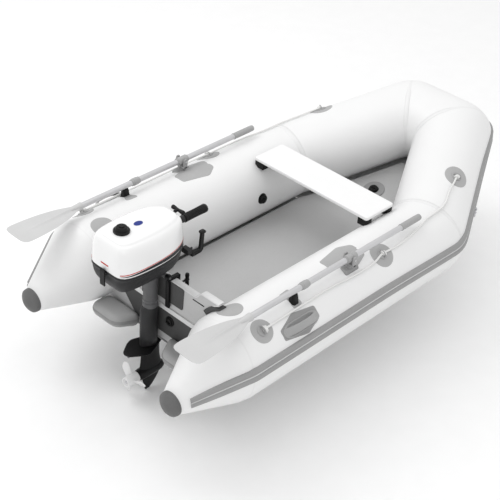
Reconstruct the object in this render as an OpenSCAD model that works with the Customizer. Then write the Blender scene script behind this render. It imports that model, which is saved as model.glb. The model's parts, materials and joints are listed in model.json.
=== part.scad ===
// Inflatable dinghy with a pair of oars and a small outboard motor on its transom.
// +X points to the bow, +Y to port and +Z up. The origin is on the centre line, level
// with the underside of the hull, in the plane of the transom's aft face.

/* [Buoyancy tubes] */
// Outer radius of the buoyancy tubes
tube_r = 210; // [206:1:214]
// Thickness of the coated fabric that stands in for the tube's skin and glued seams
tube_wall = 2.5; // [2:0.5:4]
// Distance from the centre line to a side tube's axis
tube_y = 505; // [500:1:520]
// Where the straight side tubes bend inwards, forward of the transom
bend_x = 1452; // [1400:5:1500]
// Forward end of the bow tubes' axes
nose_x = 2123; // [2080:5:2160]
// Distance from the centre line to the bow tubes' forward corners
nose_y = 152; // [140:2:170]
// Height of the axes at the forward corners
nose_z = 410; // [380:5:420]
// Where the tapered stern cones start, aft of the transom
cone_x = -70; // [-90:2:-60]
// Aft end of the stern cones
cone_end_x = -372; // [-390:2:-350]
// Radius of a cone's aft end
cone_end_r = 55; // [52:1:64]
// Height of the middle of a cone's aft end
cone_end_z = 126; // [110:2:140]

/* [Transom] */
// Thickness of the transom board
board_t = 34; // [30:1:38]
// Height of the transom's shoulders
board_top = 428; // [420:1:432]
// Height of the lowered middle, where the motor clamps on
notch_top = 390; // [380:1:395]
// Half of the lowered middle's width
notch_half = 250; // [230:5:260]

/* [Floor and seat] */
// Height of the inflatable floor's upper face
floor_top = 75; // [70:1:80]
// Length of the seat plank across the boat
seat_len = 790; // [770:2:800]
// Width of the seat plank along the boat
seat_w = 218; // [200:2:230]
// Thickness of the seat plank
seat_t = 20; // [16:1:24]
// Position of the seat's middle, forward of the transom
seat_x = 1164; // [1100:2:1200]

/* [Oars] */
// Distance from the centre line to a stowed oar
oar_y = 585; // [580:1:590]
// Height of a stowed oar's axis
oar_z = 465; // [463:1:470]
// Radius of the aluminium shaft
shaft_r = 15; // [13:0.5:16]
// Position of the rowlocks, forward of the transom
rowlock_x = 694; // [680:2:740]
// Length of a blade
blade_len = 390; // [360:5:420]
// Width of a blade at its tip
blade_w = 168; // [150:2:176]

/* [Outboard motor] */
// Position of the leg's steering axis, aft of the transom
leg_x = -50; // [-56:1:-48]
// Radius of the round tube that turns inside the swivel bracket
leg_tube_r = 26; // [24:1:28]
// Position of the tilt pin
tilt_x = -14; // [-18:1:-12]
// Height of the tilt pin
tilt_z = 412; // [408:1:414]
// Height of the joint between the lower pan and the cowl
pan_top = 560; // [555:1:570]
// Highest point of the cowl
cowl_top = 724; // [715:1:730]
// Height of the propeller shaft, which is below the hull
prop_z = -180; // [-190:1:-175]
// Radius of the propeller
prop_r = 95; // [85:1:97]

/* [Hidden] */
$fn = 64;

// Fits
run_gap = 0.05;     // radial clearance of a shaft in its bore
rest_gap = 0.3;     // space between separate bodies that only lie against each other
big = 1600;         // side of the blocks that cut the tubes to their mitres

// Axis points of the port tubes, and their directions
P1 = [bend_x, tube_y, tube_r];
P2 = [nose_x, nose_y, nose_z];
P3 = [nose_x, -nose_y, nose_z];
bow_dir = (P2 - P1) / norm(P2 - P1);
bow_out = [-bow_dir[1], bow_dir[0], 0] / norm([bow_dir[0], bow_dir[1]]);
bow_up = cross(bow_dir, bow_out);
bow_rise = atan((nose_z - tube_r) / (nose_x - bend_x));
mitre_1 = unit([1, 0, 0] + bow_dir);
mitre_2 = unit(bow_dir + [0, -1, 0]);
mitre_3 = [-mitre_2[0], mitre_2[1], -mitre_2[2]];

// Colours
hull_white = [0.93, 0.93, 0.93];
patch_grey = [0.72, 0.72, 0.72];
strake_grey = [0.6, 0.6, 0.6];
trim_grey = [0.45, 0.45, 0.45];
dark_grey = [0.28, 0.28, 0.28];
fitting_black = [0.08, 0.08, 0.08];
silver = [0.78, 0.78, 0.8];

// Patches on the tubes: [distance forward of the transom, angle round the tube, radius]
transom_patch = [32, 108, 62];
stern_anchor = [55, 56, 56];
middle_anchor = [916, 60, 66];
bow_anchor = [0.36, 65, 66];        // the first value is the share of the bow tube's length
tow_eye = [0.36, -10, 38];
keeper_x = 300;
rowlock_patch = [718, 88];
handle_x = 268;
handle_angle = 38;
valve_x = 1030;
valve_angle = 176;
floor_valve = [1680, 30];
drain_at = [-94, 153];
patch_t = 2;

// Lifeline: [distance forward of the transom, angle round the side tube], then
// [share of the bow tube's length, angle round it]
line_r = 5;
line_lift = 10.5;
line_side_route = [[55, 56], [125, 56.5], [240, 57], [360, 57.5], [460, 58], [570, 57],
    [660, 55.5], [750, 55], [840, 56], [916, 60], [1040, 59], [1180, 63], [1320, 70]];
line_bow_route = [[0.05, 73], [0.2, 70], [0.29, 67], [0.36, 65]];
line_steps = 3;     // rings in each stretch between two route points
line_sides = 8;

function unit(v) = v / norm(v);
function on_side(x, angle, lift = 0) =
    [x, tube_y + (tube_r + lift) * cos(angle), tube_r + (tube_r + lift) * sin(angle)];
function on_bow(share, angle, lift = 0) = P1 + share * (P2 - P1)
    + (tube_r + lift) * (cos(angle) * bow_out + sin(angle) * bow_up);
// A point of the smooth curve through four neighbouring route points
function smooth(a, b, c, d, t) = 0.5 * (2 * b + (c - a) * t
    + (2 * a - 5 * b + 4 * c - d) * t * t + (3 * b - a - 3 * c + d) * t * t * t);
function smooth_route(p, steps) = let (last = len(p) - 1) concat(
    [for (i = [0:last - 1]) for (k = [0:steps - 1])
        smooth(p[max(i - 1, 0)], p[i], p[i + 1], p[min(i + 2, last)], k / steps)],
    [p[last]]);
function heading(p, i) = unit(p[min(i + 1, len(p) - 1)] - p[max(i - 1, 0)]);

// Turns +Z to a direction, with its foot at a point
module along(foot, direction) {
    translate(foot)
        rotate([0, acos(direction[2] / norm(direction)), atan2(direction[1], direction[0])])
            children();
}

// Everything behind a plane, up to a large distance
module behind(point, normal) {
    along(point, normal) translate([-big / 2, -big / 2, -big]) cube(big);
}

module starboard() {
    mirror([0, 1, 0]) children();
}

module both_sides() {
    children();
    starboard() children();
}

// A stretch of tube cut to its mitre planes at both ends
module tube_piece(a, b, cut_a, cut_b) {
    length = norm(b - a) + 600;
    intersection() {
        along(a, b - a) translate([0, 0, -300]) difference() {
            cylinder(r = tube_r, h = length, $fn = 128);
            translate([0, 0, -1]) cylinder(r = tube_r - tube_wall, h = length + 2, $fn = 128);
        }
        behind(a, -cut_a);
        behind(b, cut_b);
    }
}

// Puts its children on the port side tube: +Z out of the tube, +X forward
module on_side_tube(x, angle, lift = 0) {
    translate(on_side(x, angle, lift)) rotate([angle - 90, 0, 0]) children();
}

// The same on the port bow tube
module on_bow_tube(share, angle, lift = 0) {
    out = cos(angle) * bow_out + sin(angle) * bow_up;
    side = cross(out, bow_dir);
    translate(on_bow(share, angle, lift)) multmatrix([
        [bow_dir[0], side[0], out[0], 0],
        [bow_dir[1], side[1], out[1], 0],
        [bow_dir[2], side[2], out[2], 0]]) children();
}

// A thin sheet that hugs a tube whose axis is tube_r below the origin, along X
module hugging_sheet() {
    intersection() {
        translate([-big / 8, 0, -tube_r]) rotate([0, 90, 0]) difference() {
            cylinder(r = tube_r + patch_t, h = big / 4, $fn = 128);
            translate([0, 0, -1]) cylinder(r = tube_r, h = big / 4 + 2, $fn = 128);
        }
        translate([0, 0, -tube_r / 2]) children();
    }
}

module round_patch(r) {
    hugging_sheet() cylinder(r = r, h = tube_r);
}

module polygon_patch(points) {
    hugging_sheet() linear_extrude(tube_r) polygon(points);
}

// A round rope along a route, as one closed solid
module rope(p, r, sides) {
    rings = len(p);
    points = [for (i = [0:rings - 1])
        let (ahead = heading(p, i), side = unit(cross(ahead, [0, 0, 1])), up = cross(side, ahead))
        for (k = [0:sides - 1]) p[i] + r * (cos(360 * k / sides) * side + sin(360 * k / sides) * up)];
    quads = [for (i = [0:rings - 2]) for (k = [0:sides - 1]) let (n = (k + 1) % sides)
        [i * sides + k, (i + 1) * sides + k, (i + 1) * sides + n, i * sides + n]];
    polyhedron(points, concat([[for (k = [0:sides - 1]) k]], quads,
        [[for (k = [sides - 1:-1:0]) (rings - 1) * sides + k]]));
}

// ---- Buoyancy tubes ----

module side_tube() {
    color(hull_white) tube_piece([cone_x, tube_y, tube_r], P1, [1, 0, 0], mitre_1);
}

module bow_tube() {
    color(hull_white) tube_piece(P1, P2, mitre_1, mitre_2);
}

module bow_tube_front() {
    color(hull_white) tube_piece(P2, P3, mitre_2, mitre_3);
}

// The cone between two upright rings, smaller by inset all round
module cone_solid(inset) {
    hull($fn = 64) {
        translate([cone_x - 1, tube_y, tube_r]) rotate([0, 90, 0])
            cylinder(r = tube_r - inset, h = 1);
        translate([cone_end_x, tube_y - 8, cone_end_z]) rotate([0, 90, 0])
            cylinder(r = cone_end_r - inset, h = 1);
    }
}

module stern_cone() {
    color(hull_white) difference() {
        cone_solid(0);
        cone_solid(tube_wall);
    }
}

module end_caps() {
    color(trim_grey) both_sides() translate([cone_end_x, tube_y - 8, cone_end_z])
        rotate([0, -90, 0]) rotate_extrude() polygon([[0, 0], [cone_end_r + 3, 0],
            [cone_end_r + 3, 14], [cone_end_r - 3, 26], [cone_end_r - 22, 36], [0, 42]]);
}

// Two ridges on a base band, in the plane across the tube, centred 12 degrees up
strake_angle = 12;
glue_gap = 0.4;
joint_gap = 0.2;     // clears the tubes from the flat facets of parts wrapped round them
function band(r_in, r_out, from, to, steps = 4) = concat(
    [for (i = [0:steps]) let (a = from + (to - from) * i / steps) r_out * [-sin(a), cos(a)]],
    [for (i = [steps:-1:0]) let (a = from + (to - from) * i / steps) r_in * [-sin(a), cos(a)]]);

module strake_section() {
    polygon(band(tube_r + glue_gap, tube_r + 6, strake_angle - 9, strake_angle + 9));
    polygon(band(tube_r + 5, tube_r + 13, strake_angle - 8.4, strake_angle - 1));
    polygon(band(tube_r + 5, tube_r + 13, strake_angle + 1, strake_angle + 8.4));
}

module strake_piece(a, b, cut_a, cut_b) {
    intersection() {
        along(a, b - a) translate([0, 0, -200])
            linear_extrude(norm(b - a) + 400) strake_section();
        behind(a, -cut_a);
        behind(b, cut_b);
    }
}

module rubbing_strake() {
    end_share = 0.9;
    end_r = tube_r + (cone_end_r - tube_r) * end_share;
    end_x = cone_x + (cone_end_x - cone_x) * end_share;
    end_z = tube_r + (cone_end_z - tube_r) * end_share;
    color(strake_grey) {
        both_sides() {
            strake_piece([cone_x, tube_y, tube_r], P1, [1, 0, 0], mitre_1);
            strake_piece(P1, P2, mitre_1, mitre_2);
            difference() {
                hull() {
                    translate([cone_x - 1.2, tube_y, tube_r]) rotate([0, 90, 0]) linear_extrude(1)
                        polygon(band(tube_r - 8, tube_r + 11, strake_angle - 9, strake_angle + 9));
                    translate([end_x, tube_y - 7, end_z]) rotate([0, 90, 0]) linear_extrude(1)
                        polygon(band(end_r - 6, end_r + 9, strake_angle - 19, strake_angle + 19));
                }
                cone_solid(-glue_gap);
            }
        }
        strake_piece(P2, P3, mitre_2, mitre_3);
    }
}

// Dished walls that part the hull into air chambers
module chamber_baffles() {
    dish_r = tube_r - tube_wall - 1;
    color(patch_grey) {
        both_sides() translate([bend_x - 160, tube_y, tube_r]) rotate([0, 90, 0])
            cylinder(r = dish_r, h = 2);
        translate([nose_x, 1, nose_z]) rotate([90, 0, 0]) cylinder(r = dish_r, h = 2);
    }
}

// ---- Floor ----

deck_half = 340;
deck_aft = 42;
deck_t = 70;
bow_deck_t = 66;
kink_half = 318;
bow_deck_len = 500;
bow_deck_half = 60;

// The level part of the floor, smaller by inset all round
module flat_deck(inset) {
    translate([0, 0, floor_top - deck_t + inset]) linear_extrude(deck_t - 2 * inset)
        polygon([[deck_aft + inset, inset - deck_half], [1405, inset - deck_half],
            [bend_x - inset, inset - kink_half], [bend_x - inset, kink_half - inset],
            [1405, deck_half - inset], [deck_aft + inset, deck_half - inset]]);
}

module sloping_deck(inset) {
    translate([bend_x, 0, floor_top]) rotate([0, -bow_rise, 0])
        translate([0, 0, inset - bow_deck_t]) linear_extrude(bow_deck_t - 2 * inset)
            polygon([[24 + inset, inset - kink_half + 14], [bow_deck_len, inset - bow_deck_half],
                [bow_deck_len, bow_deck_half - inset], [24 + inset, kink_half - 14 - inset]]);
}

module air_floor() {
    color(strake_grey) {
        difference() { flat_deck(0); flat_deck(tube_wall); }
        difference() { sloping_deck(0); translate([-tube_wall, 0, 0]) sloping_deck(tube_wall); }
    }
}

pod_back = -134;
pod_front = -5.5;
pod_inner = 100;
pod_inner_back = 164;
pod_outer = 352;
pod_bottom = 6;
pod_r = 38;

module stern_pods() {
    color(strake_grey) both_sides() hull($fn = 24)
        for (p = [[pod_back + pod_r, pod_inner_back + pod_r], [pod_back + pod_r, pod_outer - pod_r],
                [pod_front - pod_r, pod_inner + pod_r], [pod_front - pod_r, pod_outer - pod_r]])
            translate([p[0], p[1], pod_bottom + pod_r]) sphere(r = pod_r);
}

// The coated cloth under the floor, joined to the tubes' undersides
module bottom_fabric() {
    color(strake_grey) {
        translate([-1, -460, 0]) cube([bend_x, 920, 3]);
        translate([bend_x, 0, 0]) rotate([0, -bow_rise, 0]) linear_extrude(3)
            polygon([[4, -436], [nose_x - bend_x, -104], [nose_x - bend_x, 104], [4, 436]]);
    }
}

// ---- Transom ----

corner_r = 28;
corner_low = 340;
corner_edge = 432;

module in_transom_plane(from_x, to_x) {
    translate([from_x, 0, 0]) rotate([90, 0, 90]) linear_extrude(to_x - from_x) children();
}

module transom_board() {
    color(patch_grey) difference() {
        in_transom_plane(0, board_t) difference() {
            polygon([[-460, 12], [460, 12], [460, board_top], [notch_half + 30, board_top],
                [notch_half, notch_top], [-notch_half, notch_top], [-notch_half - 30, board_top],
                [-460, board_top]]);
            for (s = [-1, 1]) {
                translate([s * tube_y, tube_r]) circle(r = tube_r + 0.5, $fn = 128);
                intersection() {
                    translate([s * tube_y, tube_r]) circle(r = tube_r + corner_r, $fn = 128);
                    translate([s * 360 - 110, corner_low]) square([220, 200]);
                }
            }
        }
        for (s = [-1, 1]) translate([-1, s * 272 - 37, 364]) cube([4, 74, 5]);
        translate([-10, drain_at[0], drain_at[1]]) rotate([0, 90, 0]) cylinder(r = 14, h = 60);
    }
}

module transom_corners() {
    color(dark_grey) in_transom_plane(-6, board_t + 6) for (s = [-1, 1]) intersection() {
        translate([s * tube_y, tube_r]) difference() {
            circle(r = tube_r + corner_r - 0.3, $fn = 128);
            circle(r = tube_r + patch_t + glue_gap, $fn = 128);
        }
        translate([s * (corner_edge - 75) - 75, corner_low + 0.3]) square([150, 200]);
    }
}

pad_t = 5;
module motor_pads() {
    color(dark_grey) for (x = [-pad_t, board_t])
        in_transom_plane(x, x + pad_t) polygon([[-172, 262], [172, 262], [178, notch_top - 4],
            [-178, notch_top - 4]]);
}

module transom_skirt() {
    color(dark_grey) difference() {
        in_transom_plane(-5, 0) polygon([[-266, 199], [-250, 160], [-143, 44], [-104, 58],
            [104, 58], [143, 44], [250, 160], [266, 199]]);
        translate([-10, drain_at[0], drain_at[1]]) rotate([0, 90, 0]) cylinder(r = 14, h = 60);
    }
    color(patch_grey) in_transom_plane(-8, 0) polygon([[-282, 199.5], [282, 199.5],
        [282, 226], [-282, 226]]);
}

// ---- Patches, handles and fittings on the tubes ----

// Outlines of the patches that are not round: [forwards, downwards round the tube]
handle_outline = [[-126, -22], [-22, -66], [116, -44], [121, 14], [30, 58], [-120, 30]];
keeper_outline = [[-38, -46], [30, -53], [34, 46], [-23, 53]];
rowlock_outline = [[-117, -40], [48, -73], [114, -33], [118, 56], [34, 88], [-118, 30]];

module tube_patches() {
    color(patch_grey) both_sides() {
        on_side_tube(transom_patch[0], transom_patch[1]) round_patch(transom_patch[2]);
        on_side_tube(stern_anchor[0], stern_anchor[1]) round_patch(stern_anchor[2]);
        on_side_tube(middle_anchor[0], middle_anchor[1]) round_patch(middle_anchor[2]);
        on_side_tube(rowlock_patch[0], rowlock_patch[1]) polygon_patch(rowlock_outline);
        on_side_tube(handle_x, handle_angle) polygon_patch(handle_outline);
        on_side_tube(keeper_x, 72) polygon_patch(keeper_outline);
        on_bow_tube(bow_anchor[0], bow_anchor[1]) round_patch(bow_anchor[2]);
        on_bow_tube(tow_eye[0], tow_eye[1]) round_patch(tow_eye[2]);
    }
}

handle_half = 72;
handle_gap = 24;
handle_w = 30;
handle_t = 9;

// A moulded carrying handle: a plate with a raised grip over a finger gap
module carry_handle() {
    foot = 7.4 + joint_gap;
    post = [[handle_half, 0], [handle_half - 18, handle_gap + handle_t],
        [handle_half - 26, handle_gap + handle_t], [handle_half - 26, handle_gap],
        [handle_half - 14, 0]];
    translate([-handle_half - 14, -26, 2.4]) cube([2 * handle_half + 28, 52, 5]);
    for (s = [-1, 1]) translate([0, handle_w / 2, foot]) rotate([90, 0, 0])
        linear_extrude(handle_w) polygon([for (q = post) [s * q[0], q[1]]]);
    translate([26 + joint_gap - handle_half, -handle_w / 2, foot + handle_gap])
        cube([2 * (handle_half - 26 - joint_gap), handle_w, handle_t]);
}

module carry_handles() {
    color(trim_grey) both_sides() on_side_tube(handle_x, handle_angle) carry_handle();
}

module seat_plank() {
    color(hull_white) translate([seat_x - seat_w / 2, -seat_len / 2, 434 - seat_t])
        cube([seat_w, seat_len, seat_t]);
}

// Wedge blocks that hold the seat's ends to the tubes
module seat_holders() {
    color(fitting_black) both_sides() for (dx = [-1, 1]) difference() {
        translate([seat_x + dx * (seat_w / 2 - 26) - 22, 330, 372])
            cube([44, 64, 434 - seat_t - 372 - 0.1]);
        translate([0, tube_y, tube_r]) rotate([0, 90, 0])
            cylinder(r = tube_r + 0.3, h = 1500, $fn = 128);
    }
}

valve_r = 13;
module valve_body() {
    translate([0, 0, 0.4]) difference() {
        union() {
            cylinder(r = 30, h = 4);
            cylinder(r = 19, h = 10);
        }
        translate([0, 0, -1]) cylinder(r = valve_r, h = 20);
    }
}

// A cap that turns on the valve's neck
module valve_cap() {
    color(fitting_black) union() {
        translate([0, 0, 10.4 + rest_gap]) cylinder(r = 24, h = 6);
        translate([0, 0, 2]) cylinder(r = valve_r - run_gap, h = 10);
        translate([0, 0, 12]) linear_extrude(9.3) square([30, 6], center = true);
    }
}

module at_port_valve() {
    on_side_tube(valve_x, valve_angle) children();
}

module at_floor_valve() {
    translate([bend_x, 0, floor_top]) rotate([0, -bow_rise, 0])
        translate([(floor_valve[0] - bend_x) / cos(bow_rise), floor_valve[1], 0]) children();
}

module at_drain() {
    translate([-5, drain_at[0], drain_at[1]]) rotate([0, -90, 0]) children();
}

module valve_bodies() {
    color(fitting_black) {
        both_sides() at_port_valve() valve_body();
        at_floor_valve() valve_body();
        at_drain() difference() {
            translate([0, 0, 0.2]) cylinder(r = 26, h = 6);
            translate([0, 0, -1]) cylinder(r = valve_r, h = 20);
        }
    }
}

module drain_plug() {
    color(fitting_black) at_drain() {
        translate([0, 0, 6.2 + rest_gap]) cylinder(r = 20, h = 7);
        translate([0, 0, -20]) cylinder(r = valve_r - run_gap, h = 28);
        translate([0, 0, 12]) linear_extrude(10) square([26, 6], center = true);
    }
}

// A strap eye: a round foot with a bow over the rope
eye_r = 15;
module strap_eye() {
    translate([0, 0, 2.2]) cylinder(r = 26, h = 2.5);
    translate([0, 0, 4]) rotate([90, 0, 90]) rotate_extrude(angle = 180)
        translate([eye_r, 0]) circle(r = 3, $fn = 24);
}

// The tow ring's foot: a plate with two ears and a pin through the ring
ring_r = 22;
ring_bar = 4;
ring_lift = 15;
module tow_foot() {
    translate([-24, -24, 2.4]) cube([48, 40, 3]);
    for (s = [-1, 1]) translate([s * 12 - 3, -7, 5]) difference() {
        cube([6, 14, 17]);
        translate([-1, 7, ring_lift - 5]) rotate([0, 90, 0])
            cylinder(r = ring_bar + run_gap, h = 8);
    }
}

module line_fittings() {
    color(silver) both_sides() {
        on_side_tube(stern_anchor[0], stern_anchor[1]) strap_eye();
        on_side_tube(middle_anchor[0], middle_anchor[1]) strap_eye();
        on_bow_tube(bow_anchor[0], bow_anchor[1]) strap_eye();
        on_bow_tube(tow_eye[0], tow_eye[1]) tow_foot();
    }
}

// A D ring: a straight bar in the ears and a bow that hangs straight down from it
module tow_ring() {
    color(silver) on_bow_tube(tow_eye[0], tow_eye[1], ring_lift) rotate([-tow_eye[1], 0, 0]) {
        translate([-26, 0, 0]) rotate([0, 90, 0]) cylinder(r = ring_bar, h = 52, $fn = 32);
        for (s = [-1, 1]) translate([s * ring_r, 0, 0]) rotate([-90, 0, 0])
            cylinder(r = ring_bar, h = 12, $fn = 32);
        translate([0, 12, 0]) rotate_extrude(angle = 180)
            translate([ring_r, 0]) circle(r = ring_bar, $fn = 32);
    }
}

module lifeline() {
    side = [for (p = line_side_route) on_side(p[0], p[1], line_lift)];
    bow = [for (p = line_bow_route) on_bow(p[0], p[1], line_lift)];
    color(hull_white) rope(smooth_route(concat(side, bow), line_steps), line_r, line_sides);
}

// ---- Oars and rowlocks ----

post_r = 8;
trunnion_r = 5;
base_top = 428;
fork_half = 25;
collar_r = 21;
neck_x = 0;
ferrule_x = 352;
shaft_end_x = 1085;
grip_len = 150;

module rowlock_base() {
    difference() {
        union() {
            translate([rowlock_x, oar_y, 380]) cylinder(r = 20, h = base_top - 380);
            translate([rowlock_x - 45, oar_y - 22, 380]) cube([90, 44, 36]);
        }
        translate([0, tube_y, tube_r]) rotate([0, 90, 0])
            cylinder(r = tube_r + patch_t + 0.2, h = 1500, $fn = 128);
        translate([rowlock_x, oar_y, 300]) cylinder(r = post_r + run_gap, h = 200);
    }
}

module rowlock_bases() {
    color(patch_grey) both_sides() rowlock_base();
}

// A fork on a post that turns in the base, with bearings for the oar's trunnions
module rowlock() {
    color(fitting_black) translate([rowlock_x, oar_y, 0]) difference() {
        union() {
            translate([0, 0, 413]) cylinder(r = post_r, h = 22);
            translate([-14, -fork_half - 8, base_top + rest_gap]) cube([28, 2 * fork_half + 16, 9]);
            for (s = [-1, 1]) translate([-14, s * (fork_half + 4) - 4, base_top + rest_gap])
                cube([28, 8, 54]);
        }
        translate([0, -60, oar_z]) rotate([-90, 0, 0])
            cylinder(r = trunnion_r + run_gap, h = 120);
    }
}

// A low rubber saddle that the stowed shaft lies on
module oar_keepers() {
    color(fitting_black) both_sides() difference() {
        in_transom_plane(keeper_x - 20, keeper_x + 20) polygon([[oar_y - 20, 380], [oar_y + 20, 380],
            [oar_y + 16, 436], [oar_y + 8, oar_z - shaft_r - rest_gap],
            [oar_y - 8, oar_z - shaft_r - rest_gap], [oar_y - 16, 436]]);
        translate([0, tube_y, tube_r]) rotate([0, 90, 0])
            cylinder(r = tube_r + patch_t + 0.2, h = 1500, $fn = 128);
    }
}

// Everything of an oar is drawn along +X through its axis
module on_oar(x) {
    translate([x, oar_y, oar_z]) rotate([0, 90, 0]) children();
}

module oar_shaft() {
    color(silver) {
        difference() {
            on_oar(neck_x - 60) cylinder(r = shaft_r, h = shaft_end_x - neck_x + 60);
            on_oar(neck_x - 61) cylinder(r = shaft_r - 2.5, h = shaft_end_x - neck_x + 62);
        }
        difference() {
            union() {
                on_oar(ferrule_x) cylinder(r = shaft_r + 5, h = 30);
                on_oar(rowlock_x - 30) cylinder(r = collar_r, h = 60);
                translate([rowlock_x, oar_y - fork_half - 12, oar_z]) rotate([-90, 0, 0])
                    cylinder(r = trunnion_r, h = 2 * fork_half + 24);
            }
            on_oar(neck_x) cylinder(r = shaft_r + 0.02, h = 1000);
        }
    }
}

module oar_blade() {
    color(patch_grey) difference() {
        union() {
            translate([0, oar_y, oar_z - 4]) linear_extrude(8) polygon([[neck_x - 14, -20],
                [neck_x - 60, -38], [neck_x - 150, -62], [neck_x - blade_len + 16, -blade_w / 2],
                [neck_x - blade_len, 10 - blade_w / 2], [neck_x - blade_len, blade_w / 2 - 10],
                [neck_x - blade_len + 16, blade_w / 2], [neck_x - 150, 62], [neck_x - 60, 38],
                [neck_x - 14, 20]]);
            on_oar(neck_x - 70) cylinder(r = shaft_r + 5, h = 85);
            on_oar(neck_x - blade_len + 60) cylinder(r1 = 5, r2 = 13, h = blade_len - 130);
        }
        on_oar(neck_x - 62) cylinder(r = shaft_r + 0.02, h = 200);
    }
}

module oar_grip() {
    color(patch_grey) difference() {
        on_oar(shaft_end_x - 4) rotate_extrude() polygon([[0, 0], [18, 0], [18, 8], [16.5, 14],
            [16.5, grip_len - 12], [15, grip_len - 4], [11, grip_len], [0, grip_len]]);
        on_oar(shaft_end_x - 5) cylinder(r = shaft_r + 0.02, h = 5.2);
    }
}

// ---- Outboard motor: clamp, tilt and swivel ----

arm_y = 81;
arm_w = 22;
arm_top = 404;
screw_z = 340;
screw_r = 6;
pin_r = 6;

module clamp_bracket() {
    color(fitting_black) difference() {
        union() {
            for (s = [-1, 1]) translate([0, s * arm_y + arm_w / 2, 0]) rotate([90, 0, 0])
                linear_extrude(arm_w) polygon([[-20, 236], [-pad_t - 0.2, 236],
                    [-pad_t - 0.2, notch_top + 0.3], [43, notch_top + 0.3], [43, 318],
                    [56, 318], [56, 398], [48, arm_top], [-20, arm_top]]);
            for (s = [-1, 1]) translate([tilt_x, s * arm_y - arm_w / 2, tilt_z])
                rotate([-90, 0, 0]) cylinder(r = 15, h = arm_w);
        }
        translate([tilt_x, -120, tilt_z]) rotate([-90, 0, 0])
            cylinder(r = pin_r + run_gap, h = 240);
        for (s = [-1, 1]) translate([40, s * arm_y, screw_z]) rotate([0, 90, 0])
            cylinder(r = screw_r + run_gap, h = 30);
    }
}

// A clamp screw: pressure disc, screw and a folding-style T bar
module clamp_screw() {
    color(fitting_black) translate([0, arm_y, screw_z]) {
        translate([board_t + pad_t + 0.1, 0, 0]) rotate([0, 90, 0]) cylinder(r = 15, h = 3);
        translate([board_t + pad_t + 1, 0, 0]) rotate([0, 90, 0]) cylinder(r = screw_r, h = 74);
        translate([110, 0, -36]) cylinder(r = 6.5, h = 72);
    }
}

sleeve_low = 250;
sleeve_top = 432;
sleeve_r = 38;

module swivel_bracket() {
    color(fitting_black) difference() {
        union() {
            translate([leg_x, 0, sleeve_low]) cylinder(r = sleeve_r, h = sleeve_top - sleeve_low);
            translate([tilt_x, -arm_y + arm_w / 2 + rest_gap, tilt_z]) rotate([-90, 0, 0])
                cylinder(r = 13, h = 2 * arm_y - arm_w - 2 * rest_gap);
            translate([leg_x, -40, 399]) cube([tilt_x - leg_x, 80, 26]);
            translate([tilt_x, -arm_y - arm_w / 2 - 4, tilt_z]) rotate([-90, 0, 0])
                cylinder(r = pin_r, h = 2 * arm_y + arm_w + 8);
        }
        translate([leg_x, 0, 200]) cylinder(r = leg_tube_r + run_gap, h = 300);
    }
}

// ---- Outboard motor: leg and gearcase ----

plate_z = -8;
shaft_bore = 8;
strut_low = -165;
body_front = 40;
body_back = -128;
body_r = 31;

module leg_housing() {
    color(dark_grey) difference() {
        union() {
            translate([leg_x, 0, sleeve_low - 1]) cylinder(r = leg_tube_r, h = 455 - sleeve_low);
            hull($fn = 48) {
                translate([leg_x + 3, 0, plate_z + 6]) cylinder(r = sleeve_r, h = 235);
                translate([leg_x - 40, 0, plate_z + 6]) cylinder(r = 20, h = 235);
            }
            translate([leg_x, 0, 224]) cylinder(r = sleeve_r, h = sleeve_low - 224 - rest_gap);
        }
        translate([leg_x, 0, -100]) cylinder(r = shaft_bore + 2, h = 700);
    }
}

module gearcase() {
    color(fitting_black) difference() {
        union() {
            hull($fn = 48) {
                translate([leg_x + 62, 0, plate_z]) cylinder(r = 20, h = 5.7);
                translate([leg_x - 60, 42, plate_z]) cylinder(r = 32, h = 5.7);
                translate([leg_x - 60, -42, plate_z]) cylinder(r = 32, h = 5.7);
                translate([leg_x - 140, 0, plate_z]) cylinder(r = 22, h = 5.7);
            }
            hull($fn = 48) {
                translate([leg_x + 42, 0, strut_low]) cylinder(r = 22, h = -strut_low - 5);
                translate([leg_x - 46, 0, strut_low]) cylinder(r = 9, h = -strut_low - 5);
            }
            translate([body_back, 0, prop_z]) rotate([0, 90, 0]) rotate_extrude() polygon([
                [0, 0], [26, 0], [body_r, 20], [body_r, 110], [28, 134], [20, 154],
                [8, body_front - body_back], [0, body_front - body_back]]);
            translate([0, 3.5, 0]) rotate([90, 0, 0]) linear_extrude(7) polygon([
                [30, prop_z - 8], [6, prop_z - 72], [-46, prop_z - 120],
                [-76, prop_z - 120], [-98, prop_z - 14]]);
        }
        translate([leg_x, 0, prop_z]) cylinder(r = shaft_bore + 2, h = 300);
        translate([-200, 0, prop_z]) rotate([0, 90, 0])
            cylinder(r = shaft_bore + run_gap, h = 175);
        translate([leg_x - 26, 0, prop_z]) rotate([0, 90, 0]) cylinder(r = 20, h = 52);
    }
}

// One blade, drawn flat along +Y and turned to its pitch
module prop_blade() {
    rotate([0, 32, 0]) translate([0, 0, -2]) linear_extrude(4) intersection() {
        translate([-18, 52]) circle(r = 50, $fn = 96);
        translate([18, 52]) circle(r = 50, $fn = 96);
        circle(r = prop_r, $fn = 96);
    }
}

hub_front = body_back - 4;
hub_back = -205;
module propeller() {
    color(patch_grey) difference() {
        union() {
            translate([hub_back, 0, prop_z]) rotate([0, 90, 0])
                cylinder(r1 = 24, r2 = 29, h = hub_front - hub_back);
            for (k = [0:2]) translate([-168, 0, prop_z]) rotate([120 * k + 40, 0, 0])
                prop_blade();
        }
        translate([-260, 0, prop_z]) rotate([0, 90, 0]) cylinder(r = shaft_bore, h = 200);
        translate([hub_back - 1, 0, prop_z]) rotate([0, 90, 0]) cylinder(r = 18, h = 22);
    }
}

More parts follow.
